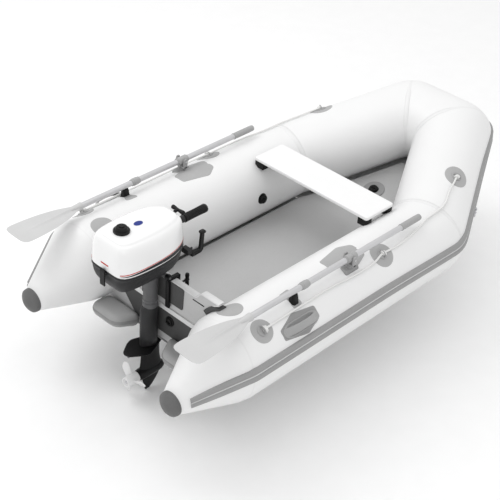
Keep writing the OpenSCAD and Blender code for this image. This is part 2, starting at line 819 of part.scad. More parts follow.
// Propeller shaft with its bevel gear inside the gearcase and its nut outside
module prop_shaft() {
    color(silver) translate([0, 0, prop_z]) rotate([0, 90, 0]) {
        translate([0, 0, -200]) cylinder(r = shaft_bore - 0.02, h = 150);
        translate([0, 0, -198]) cylinder(r = 14, h = 12, $fn = 6);
        translate([0, 0, leg_x - 22]) cylinder(r1 = 17, r2 = 12, h = 8);
    }
}

// Upright shaft with the bevel pinion below and the flywheel above
flywheel_z = 640;
module drive_shaft() {
    color(silver) translate([leg_x, 0, 0]) {
        translate([0, 0, prop_z + 16]) cylinder(r = shaft_bore - 2, h = flywheel_z - prop_z);
        translate([0, 0, prop_z + 12]) cylinder(r1 = 7, r2 = 9, h = 7);
        translate([0, 0, flywheel_z]) cylinder(r = 72, h = 16);
    }
}

// ---- Outboard motor: powerhead and covers ----

cover_t = 3;

// Faces of the brackets fixed to the pan's front and back
front_x = 103.2;
back_x = -335.7;
latch_pin = [-340, 552];

// The covers' plan outline: a rounded box with slightly barrelled sides
module cover_plan(z, h, inset) {
    for (s = [-1, 1]) {
        translate([-268, s * 58, z]) cylinder(r = 60 - inset, h = h);
        translate([-120, s * 74, z]) cylinder(r = 65 - inset, h = h);
        translate([48, s * 58, z]) cylinder(r = 55 - inset, h = h);
    }
}

module pan_shape(inset) {
    hull($fn = 32) {
        cover_plan(pan_top - 16, 16 + (inset > 0 ? 1 : 0), inset);
        translate([0, 0, inset]) {
            for (s = [-1, 1]) {
                translate([-240, s * 45, 456]) cylinder(r = 48 - inset, h = 2);
                translate([-110, s * 58, 454]) cylinder(r = 50 - inset, h = 2);
                translate([-30, s * 50, 456]) cylinder(r = 40 - inset, h = 2);
                translate([40, s * 50, 506]) cylinder(r = 45 - inset, h = 2);
            }
        }
    }
}

module engine_pan() {
    color(dark_grey) {
        difference() {
            pan_shape(0);
            pan_shape(cover_t);
            translate([leg_x, 0, 400]) cylinder(r = shaft_bore + 2, h = 100);
        }
        translate([front_x, 44, 522]) cube([4, 32, 32]);
        for (y = [44, 66.3]) translate([front_x + 4, y, 524]) cube([24, 9.7, 28]);
        translate([tiller_hinge[0], 44, tiller_hinge[2]]) rotate([-90, 0, 0])
            cylinder(r = hinge_pin_r, h = 32);
        translate([front_x, -114, 504]) cube([4, 50, 30]);
        difference() {
            union() {
                translate([front_x + 4, -92, 504]) cube([24, 8, 20]);
                translate([lever_at[0], -92, lever_at[2]]) rotate([-90, 0, 0])
                    cylinder(r = 12, h = 8);
            }
            translate([lever_at[0], -100, lever_at[2]]) rotate([-90, 0, 0])
                cylinder(r = hinge_pin_r + run_gap, h = 20);
        }
        difference() {
            union() {
                translate([back_x + 3.7, -20, 546]) cube([3.8, 40, 12]);
                for (y = [-20, 16.4]) translate([back_x - 9, y, 546]) cube([12.8, 3.6, 12]);
            }
            translate([latch_pin[0], -30, latch_pin[1]]) rotate([-90, 0, 0])
                cylinder(r = hinge_pin_r - 1 + run_gap, h = 60);
        }
    }
}

module cowl_shape(inset) {
    lower = inset > 0 ? -1 : 0;
    hull($fn = 32) {
        cover_plan(pan_top + rest_gap + lower, 20, inset);
        for (s = [-1, 1]) {
            translate([-258, s * 50, 690 - inset]) cylinder(r = 56 - inset, h = 2);
            translate([-120, s * 62, 690 - inset]) cylinder(r = 62 - inset, h = 2);
            translate([40, s * 52, 680 - inset]) cylinder(r = 50 - inset, h = 2);
            translate([-244, s * 44, cowl_top - 4 - inset]) cylinder(r = 46 - inset, h = 2);
            translate([-120, s * 50, cowl_top - 2 - inset]) cylinder(r = 48 - inset, h = 2);
            translate([20, s * 44, cowl_top - 10 - inset]) cylinder(r = 42 - inset, h = 2);
        }
    }
}

fuel_x = -228;
starter_at = [20, 674];

module cowl() {
    color(hull_white) difference() {
        cowl_shape(0);
        cowl_shape(cover_t);
        translate([fuel_x, 0, 600]) cylinder(r = 30, h = 200);
        translate([40, starter_at[0], starter_at[1]]) rotate([0, 90, 0]) cylinder(r = 5, h = 100);
    }
}

module fuel_tank() {
    color(hull_white) difference() {
        union() {
            translate([-290, -70, 590]) cube([120, 140, 95]);
            translate([fuel_x, 0, 680]) cylinder(r = 26, h = 40);
        }
        translate([-286, -66, 594]) cube([112, 132, 87]);
        translate([fuel_x, 0, 640]) cylinder(r = 20, h = 100);
    }
}

module powerhead() {
    color(silver) difference() {
        union() {
            translate([leg_x - 60, -55, 462]) cube([110, 110, 150]);
            translate([leg_x - 160, -40, 500]) cube([110, 80, 80]);
            for (i = [0:4]) translate([leg_x - 150 + 18 * i, -50, 496]) cube([6, 100, 88]);
        }
        translate([leg_x, 0, 400]) cylinder(r = shaft_bore - 2 + 3, h = 300);
    }
}

module fuel_cap() {
    color(fitting_black) translate([fuel_x, 0, cowl_top + rest_gap]) {
        cylinder(r = 38, h = 12);
        translate([0, 0, 12]) cylinder(r1 = 31, r2 = 27, h = 14);
        translate([0, 0, 26]) cylinder(r = 12, h = 5);
        translate([0, 0, -24]) cylinder(r = 20 - run_gap, h = 25);
    }
}

// T handle on the end of the starter rope
module starter_handle() {
    color(fitting_black) translate([0, starter_at[0], starter_at[1]]) {
        translate([134, -42, 0]) rotate([-90, 0, 0]) cylinder(r = 9, h = 84);
        translate([112, 0, 0]) rotate([0, 90, 0]) cylinder(r = 7, h = 24);
        translate([10, 0, 0]) rotate([0, 90, 0]) cylinder(r = 2.5, h = 110);
    }
}

tiller_hinge = [119, 60, 538];
hinge_pin_r = 5;
grip_at = [210, 572];
tiller_grip_r = 22;

module tiller_arm() {
    color(dark_grey) difference() {
        union() {
            translate([tiller_hinge[0], tiller_hinge[1] - 6, tiller_hinge[2]])
                rotate([-90, 0, 0]) cylinder(r = 11, h = 12);
            translate([0, tiller_hinge[1] + 6, 0]) rotate([90, 0, 0]) linear_extrude(12) polygon([
                [119, 528], [132, 531], [154, 560], [grip_at[0], 560], [grip_at[0], 584],
                [152, 582], [114, 547]]);
            translate([166, tiller_hinge[1], grip_at[1]]) rotate([0, 90, 0])
                cylinder(r = 18, h = grip_at[0] - 166 - rest_gap);
            translate([200, tiller_hinge[1], grip_at[1]]) rotate([0, 90, 0])
                cylinder(r = 8, h = 130);
        }
        translate([tiller_hinge[0], 0, tiller_hinge[2]]) rotate([-90, 0, 0])
            cylinder(r = hinge_pin_r + run_gap, h = 120);
    }
}

module throttle_grip() {
    color(fitting_black) difference() {
        union() {
            translate([grip_at[0], tiller_hinge[1], grip_at[1]]) rotate([0, 90, 0])
                cylinder(r = tiller_grip_r - 1, h = 146);
            for (i = [0:9]) translate([grip_at[0] + 6 + 14 * i, tiller_hinge[1], grip_at[1]])
                rotate([0, 90, 0]) cylinder(r = tiller_grip_r, h = 8);
        }
        translate([grip_at[0] - 1, tiller_hinge[1], grip_at[1]]) rotate([0, 90, 0])
            cylinder(r = 8 + run_gap, h = 122);
    }
}

// Gear lever on a pin in the ear at the pan's front
lever_at = [119, -100, 492];
module shift_lever() {
    color(fitting_black) translate(lever_at) {
        translate([0, -7, 0]) rotate([-90, 0, 0]) cylinder(r = 11, h = 14.7);
        translate([0, -7, 0]) rotate([-90, 0, 0]) cylinder(r = hinge_pin_r, h = 23);
        translate([0, 5, 0]) rotate([90, 0, 0]) linear_extrude(10) polygon([[0, -8], [52, -6],
            [62, 4], [66, 98], [54, 98], [46, 10], [0, 8]]);
        translate([45, -13, 98]) cube([30, 26, 9]);
    }
}

// Latch that hooks over the joint at the back of the covers, turning on its pin
module cowl_latch() {
    color(fitting_black) {
        translate([latch_pin[0], -20, latch_pin[1]]) rotate([-90, 0, 0])
            cylinder(r = hinge_pin_r - 1, h = 40);
        translate([back_x - 8.3, -16, 482]) cube([8, 32, 84]);
        translate([back_x - 6.3, -12, 562]) cube([6, 24, 14]);
    }
}

side_tube();  // side_tube_port
starboard() side_tube();  // side_tube_starboard
bow_tube();  // bow_tube_port
starboard() bow_tube();  // bow_tube_starboard
bow_tube_front();
stern_cone();  // stern_cone_port
starboard() stern_cone();  // stern_cone_starboard
end_caps();
rubbing_strake();
chamber_baffles();
air_floor();
stern_pods();
bottom_fabric();
transom_board();
transom_corners();
motor_pads();
transom_skirt();
tube_patches();
carry_handles();
seat_plank();
seat_holders();
valve_bodies();
at_port_valve() valve_cap();  // valve_cap_port
starboard() at_port_valve() valve_cap();  // valve_cap_starboard
at_floor_valve() valve_cap();  // valve_cap_floor
drain_plug();
line_fittings();
lifeline();  // lifeline_port
starboard() lifeline();  // lifeline_starboard
tow_ring();  // tow_ring_port
starboard() tow_ring();  // tow_ring_starboard
rowlock_bases();
oar_keepers();
rowlock();  // rowlock_port
starboard() rowlock();  // rowlock_starboard
oar_blade();  // oar_blade_port
oar_shaft();  // oar_shaft_port
oar_grip();  // oar_grip_port
starboard() oar_blade();  // oar_blade_starboard
starboard() oar_shaft();  // oar_shaft_starboard
starboard() oar_grip();  // oar_grip_starboard
clamp_bracket();
clamp_screw();  // clamp_screw_port
starboard() clamp_screw();  // clamp_screw_starboard
swivel_bracket();
leg_housing();
gearcase();
engine_pan();
cowl();
fuel_tank();
powerhead();
fuel_cap();
starter_handle();
tiller_arm();
throttle_grip();
shift_lever();
cowl_latch();
propeller();
prop_shaft();
drive_shaft();
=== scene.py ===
"""Looks for the inflatable dinghy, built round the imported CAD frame. Shapes are worked out in mm."""
import json
import math

import bmesh
import bpy
import numpy as np
from mathutils import Matrix, Vector


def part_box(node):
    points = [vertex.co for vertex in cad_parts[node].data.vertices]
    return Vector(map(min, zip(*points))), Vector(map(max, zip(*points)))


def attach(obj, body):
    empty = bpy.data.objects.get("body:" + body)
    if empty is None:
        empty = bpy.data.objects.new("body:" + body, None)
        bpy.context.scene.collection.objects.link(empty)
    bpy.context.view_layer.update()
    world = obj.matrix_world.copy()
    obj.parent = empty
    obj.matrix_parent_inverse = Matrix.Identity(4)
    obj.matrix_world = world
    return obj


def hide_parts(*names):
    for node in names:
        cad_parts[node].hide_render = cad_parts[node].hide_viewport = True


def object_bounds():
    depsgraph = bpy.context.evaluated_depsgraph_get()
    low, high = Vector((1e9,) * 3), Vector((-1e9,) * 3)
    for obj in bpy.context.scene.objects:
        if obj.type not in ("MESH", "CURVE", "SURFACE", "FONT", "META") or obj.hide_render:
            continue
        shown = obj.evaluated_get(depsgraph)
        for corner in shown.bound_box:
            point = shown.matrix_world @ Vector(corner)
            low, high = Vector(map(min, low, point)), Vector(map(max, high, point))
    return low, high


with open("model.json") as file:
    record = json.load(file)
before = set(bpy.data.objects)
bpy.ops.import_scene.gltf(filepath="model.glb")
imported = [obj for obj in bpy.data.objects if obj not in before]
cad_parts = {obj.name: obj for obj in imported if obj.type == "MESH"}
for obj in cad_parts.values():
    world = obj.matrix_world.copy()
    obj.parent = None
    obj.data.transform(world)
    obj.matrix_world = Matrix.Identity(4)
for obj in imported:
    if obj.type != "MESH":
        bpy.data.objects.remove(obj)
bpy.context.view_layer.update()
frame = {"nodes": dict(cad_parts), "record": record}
MM = 0.001


def V(*c):
    return np.array(c, float)


def unit(v):
    v = np.asarray(v, float)
    return v / np.linalg.norm(v)


def turn(steps):
    """Angles round a full turn."""
    return np.linspace(0, 2 * math.pi, steps, endpoint=False)


def circle(r, steps):
    return [(r * math.cos(a), r * math.sin(a)) for a in turn(steps)]


def box_mm(node):
    lo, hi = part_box(node)
    return np.array(lo) / MM, np.array(hi) / MM


def centre_mm(node):
    lo, hi = box_mm(node)
    return (lo + hi) / 2


# ---------------------------------------------------------------- materials

def material(name, colour, rough, metal=0.0, mottle=0.04, mottle_scale=9.0, grain=0.0,
             grain_scale=900.0, weave=0.0, weave_scale=1400.0, coat=0.0, rough_spread=0.06,
             dirt=0.0, shine=0.5):
    """A procedural finish: slow colour mottling, fine grain or weave in the bump, uneven gloss.
    colour is three numbers, or one for a grey."""
    colour = (colour,) * 3 if isinstance(colour, float) else colour
    m = bpy.data.materials.new(name)
    m.use_nodes = True
    nt = m.node_tree
    N, L = nt.nodes, nt.links
    bsdf = N["Principled BSDF"]
    at = N.new("ShaderNodeTexCoord").outputs["Object"]

    def noise(scale, detail):
        n = N.new("ShaderNodeTexNoise")
        n.inputs["Scale"].default_value = scale
        n.inputs["Detail"].default_value = detail
        L.new(at, n.inputs["Vector"])
        return n.outputs["Fac"]

    slow = noise(mottle_scale, 4)
    ramp = N.new("ShaderNodeValToRGB")
    ramp.color_ramp.elements[0].position = 0.3
    ramp.color_ramp.elements[1].position = 0.7
    for e, k in zip(ramp.color_ramp.elements, (1 - mottle, 1 + mottle * 0.5)):
        e.color = (*[min(1, c * k) for c in colour], 1)
    L.new(slow, ramp.inputs["Fac"])
    out = ramp.outputs["Color"]
    if dirt:
        fine = noise(mottle_scale * 14, 6)
        r2 = N.new("ShaderNodeValToRGB")
        r2.color_ramp.elements[0].position = 0.52
        r2.color_ramp.elements[1].position = 0.8
        r2.color_ramp.elements[0].color = (1, 1, 1, 1)
        r2.color_ramp.elements[1].color = (1 - dirt, 1 - dirt, 1 - dirt, 1)
        L.new(fine, r2.inputs["Fac"])
        mix = N.new("ShaderNodeMix")
        mix.data_type = "RGBA"
        mix.blend_type = "MULTIPLY"
        mix.inputs["Factor"].default_value = 1
        L.new(out, mix.inputs["A"])
        L.new(r2.outputs["Color"], mix.inputs["B"])
        out = mix.outputs["Result"]
    L.new(out, bsdf.inputs["Base Color"])
    gloss = N.new("ShaderNodeMapRange")
    gloss.inputs["To Min"].default_value = max(0.02, rough - rough_spread)
    gloss.inputs["To Max"].default_value = min(1, rough + rough_spread)
    L.new(noise(mottle_scale * 5, 5), gloss.inputs["Value"])
    L.new(gloss.outputs["Result"], bsdf.inputs["Roughness"])
    bsdf.inputs["Metallic"].default_value = metal
    bsdf.inputs["Specular IOR Level"].default_value = shine
    if coat:
        bsdf.inputs["Coat Weight"].default_value = coat
        bsdf.inputs["Coat Roughness"].default_value = 0.12
    height = (noise(grain_scale, 3), grain) if grain else None
    if weave:
        sums = None
        for axis in "XYZ":
            w = N.new("ShaderNodeTexWave")
            w.bands_direction = axis
            w.inputs["Scale"].default_value = weave_scale / 20
            w.inputs["Distortion"].default_value = 0.4
            L.new(at, w.inputs["Vector"])
            if sums is None:
                sums = w.outputs["Fac"]
            else:
                add_node = N.new("ShaderNodeMath")
                add_node.operation = "ADD"
                L.new(sums, add_node.inputs[0])
                L.new(w.outputs["Fac"], add_node.inputs[1])
                sums = add_node.outputs[0]
        height = (sums, weave)
    if height:
        bump = N.new("ShaderNodeBump")
        bump.inputs["Strength"].default_value = height[1]
        bump.inputs["Distance"].default_value = 0.0006
        L.new(height[0], bump.inputs["Height"])
        L.new(bump.outputs["Normal"], bsdf.inputs["Normal"])
    return m


WHITE = material("tube_fabric", 0.80, 0.42, mottle=0.012, mottle_scale=5, grain=0.10,
                 grain_scale=1500)
TAPE = material("seam_tape", 0.77, 0.45, mottle=0.02, grain=0.12, grain_scale=1500)
PATCH = material("patch_fabric", 0.40, 0.6, mottle=0.05, weave=0.25, dirt=0.05)
DARK_PATCH = material("handle_patch", 0.29, 0.6, mottle=0.05, weave=0.25, dirt=0.05)
STRAKE = material("strake_rubber", 0.30, 0.55, mottle=0.05, grain=0.3, dirt=0.08)
STRAKE_LINE = material("strake_line", 0.62, 0.5, mottle=0.04, grain=0.2)
CAP = material("cap_rubber", 0.13, 0.55, mottle=0.08, grain=0.35, dirt=0.1, shine=0.3)
FLOOR = material("floor_fabric", 0.46, 0.55, mottle=0.04, mottle_scale=4, weave=0.5,
                 weave_scale=1100, dirt=0.04)
POD = material("pod_fabric", 0.34, 0.5, mottle=0.05, weave=0.3, dirt=0.05)
POD_BAND = material("pod_band", 0.25, 0.5, mottle=0.05, weave=0.25)
BOARD = material("painted_board", 0.52, 0.42, mottle=0.04, grain=0.2, dirt=0.05)
BOARD_EDGE = material("board_edge", 0.70, 0.4, mottle=0.03, grain=0.15)
DARK = material("dark_moulding", 0.07, 0.5, mottle=0.1, grain=0.35, dirt=0.1, shine=0.25)
BLACK = material("black_plastic", 0.008, 0.4, mottle=0.2, grain=0.3, dirt=0.1, shine=0.2)
GREY_PLASTIC = material("grey_plastic", 0.34, 0.45, mottle=0.06, grain=0.3)
SEAT = material("seat_paint", 0.84, 0.35, mottle=0.015, grain=0.08, coat=0.2)
STEEL = material("stainless", (0.62, 0.62, 0.64), 0.22, metal=1.0, mottle=0.05, grain=0.05)
ALLOY = material("oar_alloy", (0.60, 0.60, 0.61), 0.36, metal=0.6, mottle=0.05, grain=0.08)
OAR = material("oar_plastic", 0.55, 0.4, mottle=0.03, grain=0.15, dirt=0.03)
OAR_GRIP = material("oar_grip", 0.36, 0.55, mottle=0.05, grain=0.4)
ROPE = material("rope", (0.78, 0.78, 0.77), 0.7, mottle=0.05, weave=0.9, weave_scale=900)
COWL = material("cowl_paint", 0.85, 0.22, mottle=0.01, coat=0.6, rough_spread=0.03)
PAN = material("pan_plastic", (0.022, 0.022, 0.023), 0.45, mottle=0.1, grain=0.5, dirt=0.1, shine=0.22)
LEG = material("leg_paint", (0.028, 0.028, 0.029), 0.38, mottle=0.1, grain=0.15, dirt=0.1, shine=0.25)
LEG_LIGHT = material("midsection_paint", (0.10, 0.10, 0.103), 0.36, mottle=0.08, grain=0.15, shine=0.3)
GEAR = material("gearcase_paint", (0.006, 0.006, 0.0065), 0.38, mottle=0.15, grain=0.2, shine=0.2)
CAST = material("cast_alloy", (0.35, 0.35, 0.36), 0.5, metal=0.8, mottle=0.1, grain=0.6)
PROP = material("prop_paint", 0.72, 0.32, mottle=0.04, grain=0.1, coat=0.2)
TANK = material("tank_plastic", (0.75, 0.75, 0.70), 0.5, mottle=0.04, grain=0.2)
RED = material("red_stripe", (0.50, 0.025, 0.010), 0.35, mottle=0.05, shine=0.25)
STRIPE = material("dark_stripe", (0.022, 0.022, 0.025), 0.35, mottle=0.08, shine=0.25)
BADGE = material("badge_blue", (0.018, 0.035, 0.22), 0.35, mottle=0.06, shine=0.25)

SLOT_FINISH = {
    "hull_pvc": WHITE, "patch_pvc": PATCH, "strake_rubber": STRAKE, "floor_pvc": FLOOR,
    "painted_ply": BOARD, "dark_trim": DARK, "seat_board": SEAT, "black_fitting": BLACK,
    "grey_fitting": GREY_PLASTIC, "stainless": STEEL, "rope_white": ROPE, "oar_plastic": OAR,
    "oar_alloy": ALLOY, "motor_black": GEAR, "motor_grey": LEG, "cowl_white": COWL,
    "prop_paint": PROP, "cast_alloy": CAST, "tank_plastic": TANK,
}
for sub in frame["record"]["subparts"]:
    mesh = frame["nodes"][sub["node"]].data
    mesh.materials.clear()
    mesh.materials.append(SLOT_FINISH[sub["material_slot"]])


# ---------------------------------------------------------------- mesh helpers

def add(name, verts, faces, finish, body, slot, replaces=(), bevel=0.0, segments=3, crease=38):
    """One piece from mm vertices: outward normals, sharp edges by angle, and an edge bevel."""
    me = bpy.data.meshes.new(name)
    me.from_pydata([tuple(np.asarray(v, float) * MM) for v in verts], [], faces)
    me.materials.append(finish)
    bm = bmesh.new()
    bm.from_mesh(me)
    bmesh.ops.remove_doubles(bm, verts=bm.verts, dist=1e-6)
    bmesh.ops.recalc_face_normals(bm, faces=bm.faces)
    for f in bm.faces:
        f.smooth = True
    for e in bm.edges:
        if len(e.link_faces) == 2 and e.calc_face_angle(0) > math.radians(crease):
            e.smooth = False
    bm.to_mesh(me)
    bm.free()
    o = bpy.data.objects.new(name, me)
    bpy.context.scene.collection.objects.link(o)
    if bevel:
        b = o.modifiers.new("edges", "BEVEL")
        b.width = bevel * MM
        b.segments = segments
        b.limit_method = "ANGLE"
        b.angle_limit = math.radians(crease)
        b.harden_normals = False
    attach(o, body)
    if replaces:
        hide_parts(*replaces)


def loft_mesh(rings, closed=True, caps=(True, True)):
    """A skin through rings of equally many points, with its ends closed where caps says so."""
    n = len(rings[0])
    verts = [p for r in rings for p in r]
    faces = []
    for i in range(len(rings) - 1):
        for k in range(n if closed else n - 1):
            a, b = i * n + k, i * n + (k + 1) % n
            faces.append((a, b, b + n, a + n))
    if caps[0]:
        faces.append(tuple(range(n))[::-1])
    if caps[1]:
        faces.append(tuple(range((len(rings) - 1) * n, len(rings) * n)))
    return verts, faces


def join(*parts):
    """Several meshes as one."""
    verts, faces = [], []
    for v, f in parts:
        base = len(verts)
        verts += list(v)
        faces += [tuple(i + base for i in face) for face in f]
    return verts, faces


def loft(name, rings, finish, body, slot, replaces=(), closed=True, caps=(True, True), **more):
    v, f = loft_mesh(rings, closed, caps)
    add(name, v, f, finish, body, slot, replaces, **more)


def axes_for(direction):
    d = unit(direction)
    side = unit(np.cross(d, V(0, 0, 1) if abs(d[2]) < 0.9 else V(1, 0, 0)))
    return d, side, np.cross(side, d)


def lathe_mesh(foot, direction, profile, sides=48):
    """profile is (distance along, radius) in mm."""
    d, u, w = axes_for(direction)
    rings = []
    for h, r in profile:
        r = max(r, 0.02)
        rings.append([np.asarray(foot, float) + d * h + r * (math.cos(a) * u + math.sin(a) * w)
                      for a in turn(sides)])
    return loft_mesh(rings)


def smooth_points(points, steps):
    """A smooth curve through the points, with steps stretches between each two."""
    p = [np.asarray(q, float) for q in points]
    last = len(p) - 1
    out = []
    for i in range(last):
        a, b, c, d = p[max(i - 1, 0)], p[i], p[i + 1], p[min(i + 2, last)]
        for k in range(steps):
            t = k / steps
            out.append(0.5 * (2 * b + (c - a) * t + (2 * a - 5 * b + 4 * c - d) * t * t
                              + (3 * b - a - 3 * c + d) * t ** 3))
    return out + [p[last]]


def sweep_mesh(path, section, up=(0, 0, 1), caps=(True, True), scale=None):
    """section is (sideways, upwards) in mm. scale gives its size at each point."""
    path = [np.asarray(q, float) for q in path]
    rings, ref = [], np.asarray(up, float)
    for i, p in enumerate(path):
        t = unit(path[min(i + 1, len(path) - 1)] - path[max(i - 1, 0)])
        side = unit(np.cross(t, ref))
        top = np.cross(side, t)
        k = 1.0 if scale is None else scale[i]
        rings.append([p + k * (a * side + b * top) for a, b in section])
    return loft_mesh(rings, caps=caps)


def rounded(w, h, r, steps=5):
    """A rounded rectangle section, w by h."""
    out = []
    for cx, cy, a0 in ((w / 2 - r, h / 2 - r, 0), (r - w / 2, h / 2 - r, 90),
                       (r - w / 2, r - h / 2, 180), (w / 2 - r, r - h / 2, 270)):
        for k in range(steps + 1):
            a = math.radians(a0 + 90 * k / steps)
            out.append((cx + r * math.cos(a), cy + r * math.sin(a)))
    return out


def block_mesh(lo, hi):
    (x0, y0, z0), (x1, y1, z1) = lo, hi
    verts = [V(x, y, z) for x in (x0, x1) for y in (y0, y1) for z in (z0, z1)]
    return verts, [(0, 1, 3, 2), (4, 6, 7, 5), (0, 4, 5, 1), (2, 3, 7, 6), (0, 2, 6, 4), (1, 5, 7, 3)]


def plate_mesh(outline, place, t0, t1):
    """An outline given thickness. place turns (a, b, t) into a point."""
    n = len(outline)
    verts = [place(a, b, t) for t in (t0, t1) for a, b in outline]
    faces = [tuple(range(n))[::-1], tuple(range(n, 2 * n))]
    faces += [(k, (k + 1) % n, (k + 1) % n + n, k + n) for k in range(n)]
    return verts, faces


def upright(x=0, y=0, z=0):
    """A place for a plate that stands along X: its outline is (forward, up), its thickness is in Y."""
    return lambda a, b, t: V(x + a, y + t, z + b)


def lying(x, y):
    """A place for a level plate: its outline is (forward, port), its thickness is in Z."""
    return lambda a, b, t: V(x + a, y + b, t)


def mirrored(mesh):
    v, f = mesh
    return [V(p[0], -p[1], p[2]) for p in v], [tuple(face[::-1]) for face in f]


def both(*parts):
    """The parts of the port side and their mirror images, as one mesh."""
    return join(*parts, *[mirrored(p) for p in parts])


SIDES = (("port", 1), ("starboard", -1))


def for_side(mesh, s):
    return mesh if s > 0 else mirrored(mesh)


# ---------------------------------------------------------------- the tubes' shape

side_lo, side_hi = box_mm("side_tube_port")
nose_lo, nose_hi = box_mm("bow_tube_front")
cap_lo, cap_hi = box_mm("end_caps")
TUBE_R = (side_hi[1] - side_lo[1]) / 2
TUBE_Y = (side_hi[1] + side_lo[1]) / 2
CONE_X = side_lo[0]
NOSE_X = nose_hi[0] - TUBE_R
NOSE_Z = (nose_lo[2] + nose_hi[2]) / 2
CAP_R = (cap_hi[2] - cap_lo[2]) / 2
CAP_AT = V(cap_hi[0], cap_hi[1] - CAP_R, (cap_lo[2] + cap_hi[2]) / 2)
BEND_X = 1452.0
NOSE_Y = 152.0
P1 = V(BEND_X, TUBE_Y, TUBE_R)
P2 = V(NOSE_X, NOSE_Y, NOSE_Z)
BOW = unit(P2 - P1)
BOW_LEN = np.linalg.norm(P2 - P1)
BOW_OUT = unit(V(-BOW[1], BOW[0], 0))
BOW_UP = np.cross(BOW, BOW_OUT)
RISE = math.atan2(P2[2] - P1[2], P2[0] - P1[0])
X, Y, Z = V(1, 0, 0), V(0, 1, 0), V(0, 0, 1)
MITRE_1, MITRE_2 = unit(X + BOW), unit(BOW - Y)
# Each: start point, direction, outward, upward, plane at the start, plane at the end
STRETCHES = [
    (V(CONE_X, TUBE_Y, TUBE_R), X, Y, Z, (V(CONE_X, TUBE_Y, TUBE_R), X), (P1, MITRE_1)),
    (P1, BOW, BOW_OUT, BOW_UP, (P1, MITRE_1), (P2, MITRE_2)),
    (P2, -Y, X, Z, (P2, MITRE_2), (V(NOSE_X, 0, NOSE_Z), -Y)),
]


def radial(stretch, phi):
    """The outward direction at an angle round a stretch, from its outer side upwards."""
    return math.cos(phi) * stretch[2] + math.sin(phi) * stretch[3]


def at_plane(stretch, phi, plane):
    """Where the line at an angle on a stretch's surface meets a plane."""
    p = stretch[0] + TUBE_R * radial(stretch, phi)
    point, normal = plane
    return p + stretch[1] * (((point - p) @ normal) / (stretch[1] @ normal))


def next_angle(i, phi):
    """The angle on stretch i + 1 of the point that ends stretch i at angle phi."""
    d = at_plane(STRETCHES[i], phi, STRETCHES[i][5]) - STRETCHES[i + 1][0]
    return math.atan2(d @ STRETCHES[i + 1][3], d @ STRETCHES[i + 1][2])


def previous_angle(i, phi):
    """The angle on stretch i whose end meets angle phi of stretch i + 1."""
    guess = phi
    for _ in range(40):
        error = (next_angle(i, guess) - phi + math.pi) % (2 * math.pi) - math.pi
        guess -= error
    return guess


def ease(t):
    """A smooth step from 0 to 1."""
    t = min(1, max(0, t))
    return t * t * (3 - 2 * t)


CONE_SLOPE = (TUBE_R - CAP_R) / (CONE_X - CAP_AT[0])


def corner_points(phi_pairs):
    """The corner points of one line along the port side, from the cap to the centre line.
    phi_pairs are its (start, end) angles on each stretch."""
    phi0 = phi_pairs[0][0]
    cap = CAP_AT + CAP_R * (math.cos(phi0) * Y + math.sin(phi0) * Z)
    pts = [cap]
    for s, (a, b) in zip(STRETCHES, phi_pairs):
        pts.append(at_plane(s, a, s[4]))
    pts.append(at_plane(STRETCHES[2], phi_pairs[2][1], STRETCHES[2][5]))
    return pts


def cone_normal(phi):
    return unit(radial(STRETCHES[0], phi) - CONE_SLOPE * X)


ROUNDING = (30, 75, 105)                          # how far each corner is eased, mm
CORNER_SHARES = (0.2, 0.375, 0.5, 0.625, 0.8)     # rings in each eased corner
STRAIGHTS = (9, 22, 12, 3)                        # rings in the cone, side, bow and front


def line(phi_of, first=0.0):
    """Points and outward normals of a line along the port half, cap to centre line.
    phi_of(i, t) is its angle on stretch i at share t, and first the share of the cone where it
    starts. Corners are eased into soft bends."""
    pairs = [(phi_of(i, 0), phi_of(i, 1)) for i in range(3)]
    pts = corner_points(pairs)
    lengths = [np.linalg.norm(b - a) for a, b in zip(pts, pts[1:])]
    soft = [min(h, 0.45 * lengths[i], (0.45 if i < 2 else 0.9) * lengths[i + 1])
            for i, h in enumerate(ROUNDING)]
    out, normals = [], []
    for i in range(4):
        start = 0 if i == 0 else soft[i - 1]
        stop = lengths[i] - (soft[i] if i < 3 else 0)
        f0 = first if i == 0 else 0.0
        for t in np.linspace(f0, 1, STRAIGHTS[i]):
            share = (start + (stop - start) * t) / lengths[i]
            if i == 0:
                phi = pairs[0][0]
                p = pts[0] + (pts[1] - pts[0]) * share
                n = cone_normal(phi)
            else:
                s = STRETCHES[i - 1]
                phi = phi_of(i - 1, share)
                a, b = at_plane(s, phi, s[4]), at_plane(s, phi, s[5])
                p = a + (b - a) * share
                n = radial(s, phi)
            out.append(p)
            normals.append(n)
        if i < 3:
            b0, n0 = out[-1], normals[-1]
            s = STRETCHES[i]
            share = soft[i] / lengths[i + 1]
            phi = phi_of(i, share)
            a, b = at_plane(s, phi, s[4]), at_plane(s, phi, s[5])
            b1, n1 = a + (b - a) * share, radial(s, phi)
            for t in CORNER_SHARES:
                out.append((1 - t) ** 2 * b0 + 2 * t * (1 - t) * pts[i + 1] + t * t * b1)
                normals.append(unit((1 - t) * n0 + t * n1))
    return np.array(out), np.array(normals)


def plain_angles(phi):
    """Angles of a line that runs straight along every tube."""
    chain = [phi, next_angle(0, phi)]
    chain.append(next_angle(1, chain[1]))
    return lambda i, t: chain[i]


def level_angles(phi):
    """Angles of a line that keeps its height round the tubes, as the strake does."""
    ends = [previous_angle(0, phi), previous_angle(1, phi), phi]
    return lambda i, t: phi + (ends[i] - phi) * ease((t - 0.55) / 0.45)


def both_halves(half):
    """Rings of the port half, and their mirror, from the port cap round to the starboard cap."""
    flip = V(1, -1, 1)
    return list(half) + [r * flip for r in reversed(half[:-1])]


